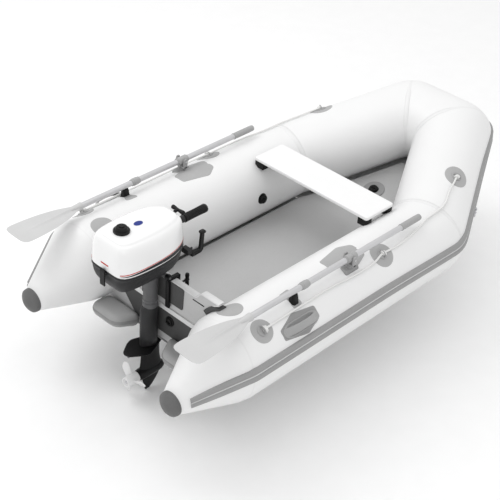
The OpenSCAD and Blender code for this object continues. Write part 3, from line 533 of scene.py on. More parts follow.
HULL_NODES = ["side_tube_port", "side_tube_starboard", "bow_tube_port", "bow_tube_starboard",
              "bow_tube_front", "stern_cone_port", "stern_cone_starboard"]
TUBE_SIDES = 96
tube_lines = [line(plain_angles(a)) for a in turn(TUBE_SIDES)]
half_rings = np.array([p for p, n in tube_lines]).transpose(1, 0, 2)
half_normals = np.array([n for p, n in tube_lines]).transpose(1, 0, 2)
# The fabric swells a little between the welds, which run round the middle of each corner
CORNER_ROWS = len(CORNER_SHARES)
weld_rows = [sum(STRAIGHTS[:i + 1]) + CORNER_ROWS * i + CORNER_ROWS // 2 for i in range(3)]
SWELL, WELD_DIP, DIP_ROWS = 1.4, 2.2, 1.6
swell = np.array([SWELL - WELD_DIP * max(math.exp(-((i - w) / DIP_ROWS) ** 2) for w in weld_rows)
                  for i in range(len(half_rings))])
swell[0] = 0
loft("tubes", both_halves(half_rings + half_normals * swell[:, None, None]), WHITE, "hull",
     "hull_pvc", HULL_NODES, crease=70)


def tape(name, row, halfwidth):
    """The tape welded over a seam, on both sides."""
    parts = []
    for sign in (1, -1):
        rows = []
        for offset, lift in ((-1, -1.2), (-0.94, 0.6), (0, 0.6), (0.94, 0.6), (1, -1.2)):
            ring = []
            for k in range(TUBE_SIDES):
                p, n = tube_lines[k]
                prev, here, nxt = p[row - 2], p[row], p[row + 2]
                a, b = unit(here - prev), unit(nxt - here)
                move = offset * halfwidth
                q = here + (b if move > 0 else a) * move
                inward = 0.45 * abs(move) * np.linalg.norm(b - a)
                ring.append((q + n[row] * (lift + swell[row] - 0.1 * inward)) * V(1, sign, 1))
            rows.append(ring)
        parts.append(loft_mesh(rows, caps=(False, False)))
    add(name, *join(*parts), TAPE, "hull", "hull_pvc", crease=70)


for seam, row, halfwidth in zip(("cones", "bends", "nose"), weld_rows, (13, 15, 15)):
    tape("tape_" + seam, row, halfwidth)

# ---------------------------------------------------------------- rubbing strake and end caps

STRAKE_ANGLE = 12.0
STRAKE_FROM = 0.16
STRAKE_PROFILE = ((-9.4, -1), (-9.1, 5), (-8.6, 9.5), (-7.4, 11.5), (-4.8, 12.4), (-2.4, 11.6),
                  (-1.3, 9), (-0.9, 5), (0.9, 5), (1.3, 9), (2.4, 11.6), (4.8, 12.4), (7.4, 11.5),
                  (8.6, 9.5), (9.1, 5), (9.4, -1))
GROOVE_PROFILE = ((-1.0, 3), (-0.8, 8.6), (0, 9.6), (0.8, 8.6), (1.0, 3))


def along_strake(name, profile, finish, replaces=()):
    """A profile of (degrees round the tube, height) carried along the strake's line."""
    rings = []
    for offset, lift in profile:
        p, n = line(level_angles(math.radians(STRAKE_ANGLE + offset)), STRAKE_FROM)
        centre, _ = line(level_angles(math.radians(STRAKE_ANGLE)), STRAKE_FROM)
        q = p + n * lift
        for i in range(STRAIGHTS[0]):       # the strake keeps most of its width on the cone
            widen = 1 + 0.75 * (1 - i / (STRAIGHTS[0] - 1))
            q[i] = centre[i] + (p[i] - centre[i]) * widen + n[i] * (lift * (0.75 + 0.25 / widen))
        rings.append(q)
    rows = np.array(rings).transpose(1, 0, 2)
    loft(name, both_halves(rows), finish, "hull", "strake_rubber", replaces, crease=50)


along_strake("rubbing_strake_rubber", STRAKE_PROFILE, STRAKE, ["rubbing_strake"])
along_strake("strake_insert", GROOVE_PROFILE, STRAKE_LINE)

cap_mesh = lathe_mesh(CAP_AT + 2 * X, -X, [(0, CAP_R + 2), (3, CAP_R + 3), (12, CAP_R + 3),
                      (17, CAP_R + 1.5), (23, CAP_R - 5), (30, CAP_R - 16), (36, CAP_R - 30),
                      (40, 22), (41.5, 8), (42, 0)], 64)
cap_rim = lathe_mesh(CAP_AT + 2 * X, -X, [(-7, CAP_R + 1), (-5, CAP_R + 4.2), (0, CAP_R + 4.5),
                     (5, CAP_R + 4.2), (7, CAP_R + 2)], 64)
add("stern_caps", *both(cap_mesh, cap_rim), CAP, "hull",
    "strake_rubber", ["end_caps"], crease=50)


# ---------------------------------------------------------------- patches and fittings on the tubes

def side_spot(x, angle):
    """A place on the port side tube, as a function of (forward, downwards round it, out of it)."""
    def place(a, b, t):
        phi = math.radians(angle) - b / TUBE_R
        return V(x + a, TUBE_Y + (TUBE_R + t) * math.cos(phi), TUBE_R + (TUBE_R + t) * math.sin(phi))
    return place


def bow_spot(share, angle):
    """The same on the port bow tube, at a share of its length."""
    def place(a, b, t):
        phi = math.radians(angle) - b / TUBE_R
        return (P1 + BOW * (share * BOW_LEN + a)
                + (TUBE_R + t) * (math.cos(phi) * BOW_OUT + math.sin(phi) * BOW_UP))
    return place


def round_corners(points, r, steps=5):
    """An outline whose corners are rounded by about r."""
    pts = [np.array(p, float) for p in points]
    out = []
    for i, p in enumerate(pts):
        a, b = pts[i - 1] - p, pts[(i + 1) % len(pts)] - p
        h = min(r, 0.45 * np.linalg.norm(a), 0.45 * np.linalg.norm(b))
        q0, q1 = p + unit(a) * h, p + unit(b) * h
        for k in range(steps + 1):
            t = k / steps
            out.append(tuple((1 - t) ** 2 * q0 + 2 * t * (1 - t) * p + t * t * q1))
    return out


def patch_mesh(place, outline, lift=3.0, rim=0.0):
    """A thin patch that hugs its tube, with a rolled edge and perhaps a raised rim."""
    o = np.array(outline)
    c = o.mean(0)
    rows = []
    for share, t in ((1.0, -1.0), (1.0, lift * 0.55), (0.985, lift), (0.95, lift + rim),
                     (0.90, lift + rim), (0.86, lift), (0.6, lift), (0.3, lift), (0.02, lift)):
        rows.append([place(*(c + (p - c) * share), t) for p in o])
    return loft_mesh(rows, caps=(False, True))


ROUND_PATCHES = {
    "transom": (side_spot(32, 108), 62), "stern_anchor": (side_spot(55, 56), 58),
    "middle_anchor": (side_spot(916, 60), 66), "bow_anchor": (bow_spot(0.36, 65), 66),
    "tow": (bow_spot(0.36, -10), 38),
}
ROWLOCK_OUTLINE = round_corners([(-117, -40), (48, -73), (114, -33), (118, 56), (34, 88), (-118, 30)], 16)
KEEPER_OUTLINE = round_corners([(-38, -46), (30, -53), (34, 46), (-23, 53)], 12)
HANDLE_OUTLINE = round_corners([(-126, -22), (-22, -66), (116, -44), (121, 14), (30, 58), (-120, 30)], 10)
patch_parts = []
for spot, radius in ROUND_PATCHES.values():
    patch_parts.append(patch_mesh(spot, circle(radius, 48)))
patch_parts.append(patch_mesh(side_spot(718, 88), ROWLOCK_OUTLINE))
patch_parts.append(patch_mesh(side_spot(300, 72), KEEPER_OUTLINE))
add("patches", *both(*patch_parts), PATCH, "hull", "patch_pvc",
    ["tube_patches"], crease=60)

# Carrying handles: a six-sided patch, a moulded plinth, and a grip over the finger gap
HANDLE = side_spot(266, 38)
grip_path = smooth_points([(-104, 0, 3), (-88, 0, 8), (-66, 0, 22), (-44, 0, 31), (0, 0, 33.5),
                           (44, 0, 31), (66, 0, 22), (88, 0, 8), (104, 0, 3)], 4)


def handle_grip():
    """The bar over the finger gap, wider towards its ends."""
    rings = []
    for q in grip_path:
        wide = 30 + 10 * (abs(q[0]) / 104) ** 2
        rings.append([HANDLE(q[0], a, q[2] + b) for a, b in rounded(wide, 9.5, 4)])
    return loft_mesh(rings)


def moulded_plinth():
    o = round_corners([(-116, -14), (-84, -34), (84, -34), (116, -14), (116, 14), (84, 34),
                       (-84, 34), (-116, 14)], 22)
    rows = []
    for share, t in ((1.0, 1.0), (1.0, 4.5), (0.965, 7.5), (0.9, 8.2), (0.78, 7.0), (0.72, 4.5),
                     (0.4, 4.0), (0.02, 4.0)):
        rows.append([HANDLE(p[0] * (1 - (1 - share) * 0.6), p[1] * share, t) for p in o])
    return loft_mesh(rows, caps=(False, True))


hexagon = patch_mesh(HANDLE, HANDLE_OUTLINE, 3.0, rim=0.8)
add("handle_patches", *both(hexagon), DARK_PATCH, "hull", "patch_pvc", crease=60)
add("carry_handle_grips", *both(moulded_plinth(), handle_grip()), GREY_PLASTIC, "hull",
    "grey_fitting", ["carry_handles"], crease=45)


# ---------------------------------------------------------------- lifelines and their anchors

LINE_LIFT = 10.5
SIDE_ROUTE = [(55, 56), (125, 56.5), (240, 57), (360, 57.5), (460, 58), (570, 57), (660, 55.5), (750, 55),
              (840, 56), (916, 60), (1040, 59), (1180, 63), (1320, 70)]
BOW_ROUTE = [(0.05, 73), (0.2, 70), (0.29, 67), (0.36, 65)]
route = ([side_spot(x, a)(0, 0, LINE_LIFT) for x, a in SIDE_ROUTE]
         + [bow_spot(s, a)(0, 0, LINE_LIFT) for s, a in BOW_ROUTE])
rope_line = smooth_points(route, 8)


def lumps_mesh(place, where, r):
    """A tied knot: three crossing turns of rope."""
    parts = []
    for a, b, tilt in ((0, 0, 0.5), (5, 2, -0.6), (-5, -2, 0.1)):
        turn = [place(where[0] + a + r * 0.55 * math.sin(tilt) * math.cos(t),
                      where[1] + b + r * 1.25 * math.cos(t), where[2] + r * 0.9 * math.sin(t))
                for t in np.linspace(0, 2 * math.pi, 17)]
        parts.append(sweep_mesh(turn, circle(r * 0.62, 10), up=place(1, 0, 0) - place(0, 0, 0)))
    return join(*parts)


ANCHORS = [ROUND_PATCHES[k][0] for k in ("stern_anchor", "middle_anchor", "bow_anchor")]


def anchor_mesh(place):
    """A moulded foot with a bow that the lifeline runs under."""
    foot = [(0.0, 27), (3.2, 27), (5.0, 25), (6.0, 20), (6.2, 12), (6.2, 0)]
    rows = [[place(a, b, 2.2 + h) for a, b in circle(max(r, 0.5), 36)] for h, r in foot]
    bow = [place(0, 17 * math.cos(t), 4 + 17 * math.sin(t)) for t in np.linspace(0, math.pi, 17)]
    return join(loft_mesh(rows, caps=(True, True)),
                sweep_mesh(bow, rounded(12, 5, 2, 3), up=place(1, 0, 0) - place(0, 0, 0)))


TOW = ROUND_PATCHES["tow"][0]
tow_parts = [plate_mesh(round_corners([(-24, -24), (24, -24), (24, 16), (-24, 16)], 7), TOW, 2, 5.6)]
for s in (-12, 12):
    tow_parts.append(plate_mesh(round_corners([(-8, 4), (8, 4), (8, 15), (4, 22), (-4, 22), (-8, 15)], 4),
                                lambda a, b, t, s=s: TOW(s + t, a, b), -3, 3))
add("line_anchor_fittings", *both(*[anchor_mesh(p) for p in ANCHORS]), GREY_PLASTIC, "hull",
    "grey_fitting", crease=45)
add("tow_feet", *both(*tow_parts), STEEL, "hull", "stainless", ["line_fittings"], bevel=0.8,
    segments=2)
knots = [lumps_mesh(ANCHORS[0], (10, 0, 13), 9), lumps_mesh(ANCHORS[1], (4, 0, 14), 7.5),
         lumps_mesh(ANCHORS[2], (-8, 0, 12), 7.5)]
for side, s in SIDES:
    rope = join(sweep_mesh(rope_line, circle(5.2, 12)), *knots)
    add("lifeline_rope_" + side, *for_side(rope, s), ROPE, "hull", "rope_white", ["lifeline_" + side],
        crease=60)

# Tow rings
for side, s in SIDES:
    o = TOW(0, 0, 15)
    down = -BOW_UP
    leg = 12.0
    pts = ([o + BOW * x for x in (-22, -11, 0, 11)] + [o + BOW * 22]
           + [o + BOW * 22 + down * leg * 0.6]
           + [o + down * leg + 22 * (math.cos(t) * BOW + math.sin(t) * down)
              for t in np.linspace(0, math.pi, 17)]
           + [o - BOW * 22 + down * leg * 0.6, o - BOW * 22])
    ring = sweep_mesh(smooth_points(pts, 3), circle(3.9, 14), up=np.cross(BOW, down))
    bar = lathe_mesh(o - BOW * 26, BOW, [(0, 2.5), (1.5, 3.9), (50.5, 3.9), (52, 2.5)], 16)
    add("tow_ring_bar_" + side, *for_side(join(ring, bar), s), STEEL, "tow_ring_" + side, "stainless",
        ["tow_ring_" + side], crease=60)

# ---------------------------------------------------------------- floor, pods, transom, seat

DECK_HALF, DECK_BEND, DECK_TIP = 340.0, 318.0, 60.0    # half widths aft, at the bend and at the tip
DECK_T, DECK_TOP, DECK_AFT = 70.0, 75.0, box_mm("air_floor")[0][0]
DECK_EDGE = 24.0                                       # how far the aft edge is rolled over
CROWN = 3.0


def deck_section(x):
    """Half width and top height of the floor at a distance forward."""
    if x <= BEND_X:
        return DECK_HALF - (DECK_HALF - DECK_BEND) * ease((x - 1380) / 72), DECK_TOP
    t = (x - BEND_X) / (500 * math.cos(RISE))
    return DECK_BEND + (DECK_TIP - DECK_BEND) * t, DECK_TOP + (x - BEND_X) * math.tan(RISE)


deck_rings = []
deck_x = ([DECK_AFT + d for d in (0, 2, 6, 13, 24)] + list(np.linspace(110, 1380, 16))
          + list(np.linspace(1405, 1500, 6)) + list(np.linspace(1540, BEND_X + 484, 9)))
for x in deck_x:
    half, top = deck_section(x)
    edge = ease((x - DECK_AFT) / DECK_EDGE) * 0.5 + 0.5
    tall = DECK_T * (0.45 + 0.55 * math.sqrt(min(1, max(0.0, (x - DECK_AFT) / DECK_EDGE))))
    ring = []
    for a, b in rounded(2 * half - (1 - edge) * 20, tall, min(24, tall * 0.34), 6):
        crown = CROWN * (1 - (a / half) ** 2) if b > 0 else 0
        ring.append(V(x, a, top - DECK_T / 2 + b + crown - CROWN * (b > 0)))
    deck_rings.append(ring)
loft("inflated_floor", deck_rings, FLOOR, "hull", "floor_pvc", ["air_floor"], crease=60)


def pod_outline(inset):
    """The pods' plan: their inner side runs outwards towards the stern."""
    back, front, outer = pod_lo[0] + inset, -6.0 - inset, pod_hi[1] - inset
    return round_corners([(back, 164 + inset), (front, 100 + inset), (front, outer), (back, outer)],
                         max(48 - inset, 9), 8)


def pod_mesh():
    z0, z1 = pod_lo[2], pod_hi[2]
    rows = [[V(a, b, z0 + (z1 - z0) * z) for a, b in pod_outline(inset)]
            for z, inset in ((0, 30), (0.03, 20), (0.1, 10), (0.2, 4), (0.32, 1), (0.5, 0), (0.7, 1),
                             (0.82, 5), (0.91, 11), (0.97, 20), (0.995, 32), (1.0, 50))]
    band = [[V(a, b, z0 + (z1 - z0) * z) for a, b in pod_outline(inset)]
            for z, inset in ((0.36, 1.5), (0.37, -0.8), (0.5, -2.2), (0.63, -0.8), (0.64, 1.5))]
    return loft_mesh(rows), loft_mesh(band, caps=(False, False))


pod_lo, pod_hi = box_mm("stern_pods")
pod, pod_band = pod_mesh()
add("inflated_pods", *both(pod), POD, "hull", "floor_pvc", ["stern_pods"], crease=75)
add("pod_bands", *both(pod_band), POD_BAND, "hull", "floor_pvc", crease=75)

board_lo, board_hi = box_mm("transom_board")
BOARD_T, BOARD_TOP, BOARD_LOW = board_hi[0], board_hi[2], board_lo[2]
NOTCH_TOP, NOTCH_HALF = 390.0, 250.0


def arc_at(r, z_from, z_to, steps):
    """Points (y, z) on the port side of the board, round the side tube's inner face."""
    return [(TUBE_Y - math.sqrt(r * r - (z - TUBE_R) ** 2), z) for z in np.linspace(z_from, z_to, steps)]


rise = [(NOTCH_HALF + 44 * t, NOTCH_TOP + (BOARD_TOP - NOTCH_TOP) * ease(t)) for t in
        np.linspace(0, 1, 9)]
half_board = (arc_at(TUBE_R + 0.5, BOARD_LOW, 340, 16) + arc_at(TUBE_R + 28, 340, BOARD_TOP - 3, 12)
              + [(402, BOARD_TOP)] + rise[::-1])
board_outline = half_board + [(-y, z) for y, z in half_board[::-1]]


def across(a, b, t):
    """A place for a plate that stands across the boat, as the transom does."""
    return V(t, a, b)


add("transom_panel", *plate_mesh(board_outline, across, 0.3, BOARD_T - 0.3), BOARD, "hull",
    "painted_ply", ["transom_board"], bevel=3.5, crease=30)
edge_line = [(y, z) for y, z in (half_board[20:] + [(-y, z) for y, z in half_board[::-1]][:-20])]
edge_rows = []
for y, z in edge_line:
    edge_rows.append([V(x, y, z + dz) for x, dz in ((-1.2, -6), (-1.2, -1), (1.5, 1.3), (17, 1.6),
                                                   (32.5, 1.3), (35.2, -1), (35.2, -6))])
loft("transom_edging", edge_rows, BOARD_EDGE, "hull", "painted_ply", closed=True, crease=50)
slots = [plate_mesh([(s * 272 + a, 366 + b) for a, b in rounded(76, 6, 2.9)], across, -0.7, 0.6)
         for s in (-1, 1)]
add("transom_slots", *join(*slots), BLACK, "hull", "dark_trim", crease=30)

pad_outline = round_corners([(-172, 262), (172, 262), (178, NOTCH_TOP - 4), (-178, NOTCH_TOP - 4)], 12)
add("clamp_pads", *join(plate_mesh(pad_outline, across, -5, 0.2),
                        plate_mesh(pad_outline, across, BOARD_T - 0.2, BOARD_T + 5)),
    DARK, "hull", "dark_trim", ["motor_pads"], bevel=1.6, crease=30)
# A dark grey sheet on the board's aft face below the skirt ledge: painted shade, standing in for the shadow
# under the ledge.
skirt_shade_outline = round_corners([(-266, 199), (-250, 160), (-143, 44), (-104, 58), (104, 58), (143, 44),
                               (250, 160), (266, 199)], 14)
add("skirt_painted_shade", *plate_mesh(skirt_shade_outline, across, -4.8, 0.2), DARK, "hull", "dark_trim",
    bevel=1.4, crease=30)
ledge = sweep_mesh([V(-4, y, 213) for y in (-282, -281, -140, 0, 140, 281, 282)],
                   rounded(8.6, 27, 3.5), up=(0, 0, 1), scale=[0.9, 1, 1, 1, 1, 1, 0.9])
add("skirt_ledge", *ledge, BOARD_EDGE, "hull", "painted_ply", ["transom_skirt"], crease=40)


def corner_mesh():
    """The moulding between the board and the tube: it thins to a tip over the tube's top."""
    rows = []
    for t in np.linspace(0, 1, 16):
        a = math.radians(35.3 + 29 * t)
        low, high = TUBE_R + 2.4, TUBE_R + 28.5 - 18 * ease((t - 0.55) / 0.45)
        out = V(0, -math.cos(a), math.sin(a))
        shell = rounded(BOARD_T + 12, high - low, min(5, (high - low) * 0.4), 4)
        rows.append([V(BOARD_T / 2 + u, TUBE_Y, TUBE_R) + out * ((low + high) / 2 + v) for u, v in shell])
    return loft_mesh(rows)


corner = corner_mesh()
add("corner_mouldings", *both(corner), DARK, "hull", "dark_trim",
    ["transom_corners"], crease=50)

seat_lo, seat_hi = box_mm("seat_plank")
seat_corner = rounded(seat_hi[0] - seat_lo[0], seat_hi[1] - seat_lo[1], 14, 6)
SEAT_X = (seat_lo[0] + seat_hi[0]) / 2
add("seat_board", *plate_mesh(seat_corner, lying(SEAT_X, 0), seat_lo[2], seat_hi[2]), SEAT, "hull",
    "seat_board", ["seat_plank"], bevel=5.5, segments=5, crease=40)

holder_parts = []
for dx in (-1, 1):
    cx = SEAT_X + dx * ((seat_hi[0] - seat_lo[0]) / 2 - 26)
    rows = []
    for z in np.linspace(374, seat_lo[2] - 0.3, 7):
        inner = min(393.0, TUBE_Y - math.sqrt((TUBE_R + 0.6) ** 2 - (z - TUBE_R) ** 2))
        shell = rounded(42, inner - 332, 4, 3)
        rows.append([V(cx + a, (inner + 332) / 2 + b, z) for a, b in shell])
    holder_parts.append(loft_mesh(rows))
add("seat_wedges", *both(*holder_parts), BLACK, "hull",
    "black_fitting", ["seat_holders"], bevel=1.5, crease=40)


# ---------------------------------------------------------------- valves and drain

VALVE_SPOT = side_spot(1030, 176)
valve_out = unit(VALVE_SPOT(0, 0, 1) - VALVE_SPOT(0, 0, 0))
floor_out = V(-math.sin(RISE), 0, math.cos(RISE))
floor_cap = centre_mm("valve_cap_floor")
BODY_PROFILE = [(-1, 31), (1.5, 31), (3.4, 29.5), (4.4, 26), (4.6, 20), (9.6, 19), (10.3, 18), (10.3, 13)]
CAP_PROFILE = [(10.7, 20), (10.8, 23.4), (12, 24), (15.4, 24), (16.4, 23.2), (16.8, 20), (16.2, 14),
               (16.2, 0)]


def grip_bar(foot, out, along, h0, h1, half, thick):
    """The raised bar across a cap that fingers turn it by."""
    d, u = unit(out), unit(along)
    w = np.cross(d, u)
    outline = rounded(2 * half, 2 * thick, thick * 0.9, 4)
    return plate_mesh(outline, lambda a, b, t: foot + a * u + b * w + t * d, h0, h1)


valves = []
spots = [("port", VALVE_SPOT(0, 0, 0), valve_out, 1), ("starboard", VALVE_SPOT(0, 0, 0), valve_out, -1)]
floor_foot = floor_cap - floor_out * ((floor_cap - V(BEND_X, 0, DECK_TOP)) @ floor_out)
for side, foot, out, s in spots + [("floor", floor_foot, floor_out, 1)]:
    body = lathe_mesh(foot, out, BODY_PROFILE)
    valves.append(for_side(body, s))
    cap = join(lathe_mesh(foot, out, CAP_PROFILE), grip_bar(foot, out, X if side != "floor" else Y,
                                                            15, 21, 15, 3))
    add("valve_knob_" + side, *for_side(cap, s), BLACK, "valve_cap_" + side, "black_fitting",
        ["valve_cap_" + side], crease=35)
drain = centre_mm("drain_plug")
drain_foot = V(-5, drain[1], drain[2])
valves.append(lathe_mesh(drain_foot, -X, [(0, 27), (2.5, 27), (5.4, 25), (6.3, 22), (6.3, 13)]))
add("valve_seats", *join(*valves), BLACK, "hull", "black_fitting", ["valve_bodies"], crease=35)
add("drain_stopper", *join(lathe_mesh(drain_foot, -X, [(6.6, 18), (6.8, 20), (9, 20.4), (12.4, 19.6),
                                                       (13.4, 17), (13.6, 0)]),
                           grip_bar(drain_foot, -X, Y, 12, 21.5, 13, 3)),
    BLACK, "drain_plug", "black_fitting", ["drain_plug"], crease=35)
patch_ring = patch_mesh(lambda a, b, t: floor_foot + V(a, b, a * math.tan(RISE)) + floor_out * (t - 0.4),
                        circle(62, 48), 3.4)
add("floor_valve_patch", *patch_ring, DARK_PATCH, "hull", "patch_pvc", crease=60)


# ---------------------------------------------------------------- oars and rowlocks

SHAFT_END = box_mm("oar_shaft_port")[1][0]
lock = centre_mm("rowlock_port")
OAR_Y, OAR_Z = lock[1], centre_mm("oar_grip_port")[2]
LOCK_X = lock[0]
BLADE_LEN, SHAFT_R = 390.0, 15.0
BLADE_SHAPE = ((0.0, 17), (0.04, 21), (0.09, 28), (0.15, 38), (0.22, 48), (0.3, 57), (0.4, 66),
               (0.52, 74), (0.66, 80), (0.8, 83.5), (0.9, 84), (0.955, 80), (0.985, 70), (0.998, 54))


def oar_point(x, y, z):
    return V(x, OAR_Y + y, OAR_Z + z)


def blade_rib(t, y):
    """Height of the spine that runs down the blade from its neck."""
    if t < 0.03:
        return 4.0
    return 11 * max(0.0, 1 - 1.25 * t) ** 0.7 * math.exp(-(y / (5 + 6 * (1 - t))) ** 2)


def blade_mesh():
    """The blade aft of the neck, which is at x = 0, and its socket on the shaft."""
    rows = []
    for t, w in BLADE_SHAPE:
        x = -BLADE_LEN * t
        thick = 7.6 - 4.6 * t
        dish = 3.0 * ease(t * 2)
        ring = []
        across_steps = [math.copysign(abs(k) ** 1.7, k) for k in np.linspace(-1, 1, 25)]
        for k in across_steps:
            rib = blade_rib(t, k * w)
            edge = math.sqrt(max(0.0, 1 - abs(k) ** 8))
            ring.append(oar_point(x, k * w, dish * (k * k - 1) * 0.5 + edge * (thick / 2) + rib))
        for k in across_steps[::-1][1:-1]:
            rib = blade_rib(t, k * w)
            edge = math.sqrt(max(0.0, 1 - abs(k) ** 8))
            ring.append(oar_point(x, k * w, dish * (k * k - 1) * 0.5 - edge * (thick / 2) - rib))
        rows.append(ring)
    socket = lathe_mesh(oar_point(-60, 0, 0), X, [(0, 11), (8, 15), (30, 17.5), (58, 18.5),
                        (62, 20), (74, 20), (76, 18.5), (76, 15.2)], 32)
    return join(loft_mesh(rows), socket)


blade = blade_mesh()
shaft = lathe_mesh(oar_point(10, 0, 0), X, [(0, 13), (0, SHAFT_R), (1050, SHAFT_R),
                   (SHAFT_END - 10, SHAFT_R)], 32)
ferrule = lathe_mesh(oar_point(340, 0, 0), X, [(0, 15), (0.8, 17.5), (12, 18), (13, 19.6), (40, 19.6),
                     (41, 18), (52, 17.5), (53, 15)], 36)
collar = lathe_mesh(oar_point(LOCK_X - 38, 0, 0), X, [(0, 15), (1, 18), (7, 18), (8, 21), (30, 21),
                    (31, 19.5), (45, 19.5), (46, 21), (68, 21), (69, 18), (75, 18), (76, 15)], 36)
pins = lathe_mesh(oar_point(LOCK_X, -37, 0), Y, [(0, 3), (1.5, 4.95), (72.5, 4.95), (74, 3)], 20)
grip = lathe_mesh(oar_point(1081, 0, 0), X, [(0, 15.2), (0.5, 17.5), (8, 18), (9, 16.6), (20, 16.4),
                  (21, 17.2)] + [q for k in range(8) for q in ((24 + 13 * k, 17.3), (32 + 13 * k, 17.3),
                  (33 + 13 * k, 16.5), (35.5 + 13 * k, 16.5))] + [(140, 17), (150, 15.5),
                  (153.2, 12), (154, 6), (154, 0)], 32)
for side, s in SIDES:
    body = "oar_" + side
    add("oar_paddle_" + side, *for_side(blade, s), OAR, body, "oar_plastic", ["oar_blade_" + side],
        crease=50)
    add("oar_tube_" + side, *for_side(join(shaft, pins), s), ALLOY, body, "oar_alloy",
        ["oar_shaft_" + side], crease=50)
    add("oar_sleeves_" + side, *for_side(join(ferrule, collar), s), OAR_GRIP, body, "oar_plastic",
        crease=35)
    add("oar_handgrip_" + side, *for_side(grip, s), OAR_GRIP, body, "oar_plastic",
        ["oar_grip_" + side], crease=35)

base_foot = round_corners([(-46, -23), (46, -23), (46, 23), (-46, 23)], 10)


def rowlock_base_mesh():
    """The moulded foot with the boss that the fork turns in."""
    rows = []
    for z, grow in ((392, 3), (399, 2.5), (407, 1), (412, -1), (415, -4)):
        rows.append([V(LOCK_X + a * (1 + grow / 46), OAR_Y + b * (1 + grow / 24), z)
                     for a, b in base_foot])
    boss = lathe_mesh(V(LOCK_X, OAR_Y, 404), Z, [(0, 22), (10, 21), (20, 20), (23, 19.5), (24, 18),
                                                 (24, 8.2)], 36)
    return join(loft_mesh(rows), boss)


base = rowlock_base_mesh()
add("rowlock_feet", *both(base), DARK_PATCH, "hull", "grey_fitting",
    ["rowlock_bases"], bevel=1.2, crease=35)
FORK_LOW = 428.6
ear_outline = round_corners([(-14, FORK_LOW), (14, FORK_LOW), (13, 462), (9, 482), (-9, 482),
                             (-13, 462)], 6)
fork = [plate_mesh(round_corners([(-14, -33), (14, -33), (14, 33), (-14, 33)], 5),
                   lying(LOCK_X, OAR_Y), FORK_LOW, 437)]
for c in (-29, 29):
    fork.append(plate_mesh(ear_outline, upright(LOCK_X, OAR_Y + c), -4, 4))
    fork.append(lathe_mesh(V(LOCK_X, OAR_Y + c - 5.5, OAR_Z), Y, [(0, 7), (0.8, 9.5), (10.2, 9.5),
                                                                  (11, 7)], 24))
fork.append(lathe_mesh(V(LOCK_X, OAR_Y, 414), Z, [(0, 7.9), (15, 7.9)], 24))
for side, s in SIDES:
    add("rowlock_fork_" + side, *for_side(join(*fork), s), GREY_PLASTIC, "rowlock_" + side, "grey_fitting",
        ["rowlock_" + side], bevel=1.0, segments=2, crease=35)

keep_lo, keep_hi = box_mm("oar_keepers")


def keeper_mesh():
    """The saddle that the stowed oar rests on, narrower towards its top."""
    rows = []
    cx = (keep_lo[0] + keep_hi[0]) / 2
    for z, long, wide in ((392, 46, 44), (402, 44, 42), (420, 40, 36), (436, 36, 32), (446, 34, 22),
                          (449.4, 30, 12)):
        rows.append([V(cx + a, OAR_Y + b, z) for a, b in rounded(long, wide, min(long, wide) * 0.32, 4)])
    return loft_mesh(rows)


keeper = keeper_mesh()
add("oar_rests", *both(keeper), BLACK, "hull", "black_fitting", ["oar_keepers"],
    crease=45)


# ---------------------------------------------------------------- outboard motor: covers

cowl_lo, cowl_hi = box_mm("cowl")
COVER_BACK, COVER_FRONT = cowl_lo[0], cowl_hi[0]
COVER_X, COVER_LONG = (COVER_BACK + COVER_FRONT) / 2, (COVER_FRONT - COVER_BACK) / 2
SEAM_Z = cowl_lo[2]
COVER_SIDES = 72


def cover_outline(theta, grow=0.0, inset=0.0, power=3.6):
    """A point of the covers' plan at an angle: rounded box, widest behind the middle."""
    c, s = math.cos(theta), math.sin(theta)
    power += 2.6 * ease(-c * 1.6)
    out = (abs(c) ** power + abs(s) ** power) ** (-1 / power)
    cx, sy = out * c, out * s
    x = COVER_X + (COVER_LONG - 0.75 * inset + grow) * cx
    half = 138 * (1 - (0.26 if x > -130 else 0.12) * ((x + 130) / 200) ** 2)
    return x, (half * (1 - inset / 140) + grow) * sy


def front_share(x):
    """How much of the covers' forward slope applies: 0 behind, 1 at the front."""
    return ease((x + 40) / 150)


# Cowl rings: (height above the seam, inset, how far the front drops)
COWL_RINGS = [(0, 2.0, 0), (2, 0.3, 0), (8, 0, 0), (40, 1, 1), (80, 3.5, 3), (108, 7, 5), (124, 11, 7),
              (136, 17, 9), (144, 24, 10), (148.5, 31, 11), (150.5, 36, 11), (153.5, 39, 11), (157.5, 43, 11),
              (160.8, 50, 11), (162.8, 60, 11), (163.8, 76, 11), (164.2, 100, 11), (164.3, 125, 11)]


def cowl_point(theta, height, inset, drop):
    """A point of a cowl ring. drop lowers the front."""
    x, y = cover_outline(theta, 0, inset, 4.0 - 0.7 * min(1, inset / 90))
    return V(x, y, SEAM_Z + height - drop * front_share(x))


cowl_rows = [[cowl_point(a, *ring) for a in turn(COVER_SIDES)] for ring in COWL_RINGS]
loft("cowl_cover", cowl_rows, COWL, "motor", "cowl_white", ["cowl"], crease=60)

# Lower cover rings: (depth below the seam, inset)
PAN_RINGS = [(0, 0), (1.5, -1.2), (8, -1.8), (12, -0.5), (15, 2.5), (30, 4), (50, 8), (70, 15),
             (88, 27), (102, 42), (112, 58), (118, 76)]


def pan_point(theta, depth, inset):
    """A point of a ring of the lower cover, whose underside rises at the front."""
    x, y = cover_outline(theta, -min(inset, 0) * 0.7, max(inset, 0), 4.0)
    lift = 0.55 * max(0, depth - 12) * ease(x / 95)
    return V(x, y, SEAM_Z - 0.4 - depth + lift)


pan_rows = [[pan_point(a, *ring) for a in turn(COVER_SIDES)] for ring in PAN_RINGS]
loft("lower_cover", pan_rows, PAN, "motor", "motor_grey", crease=60)


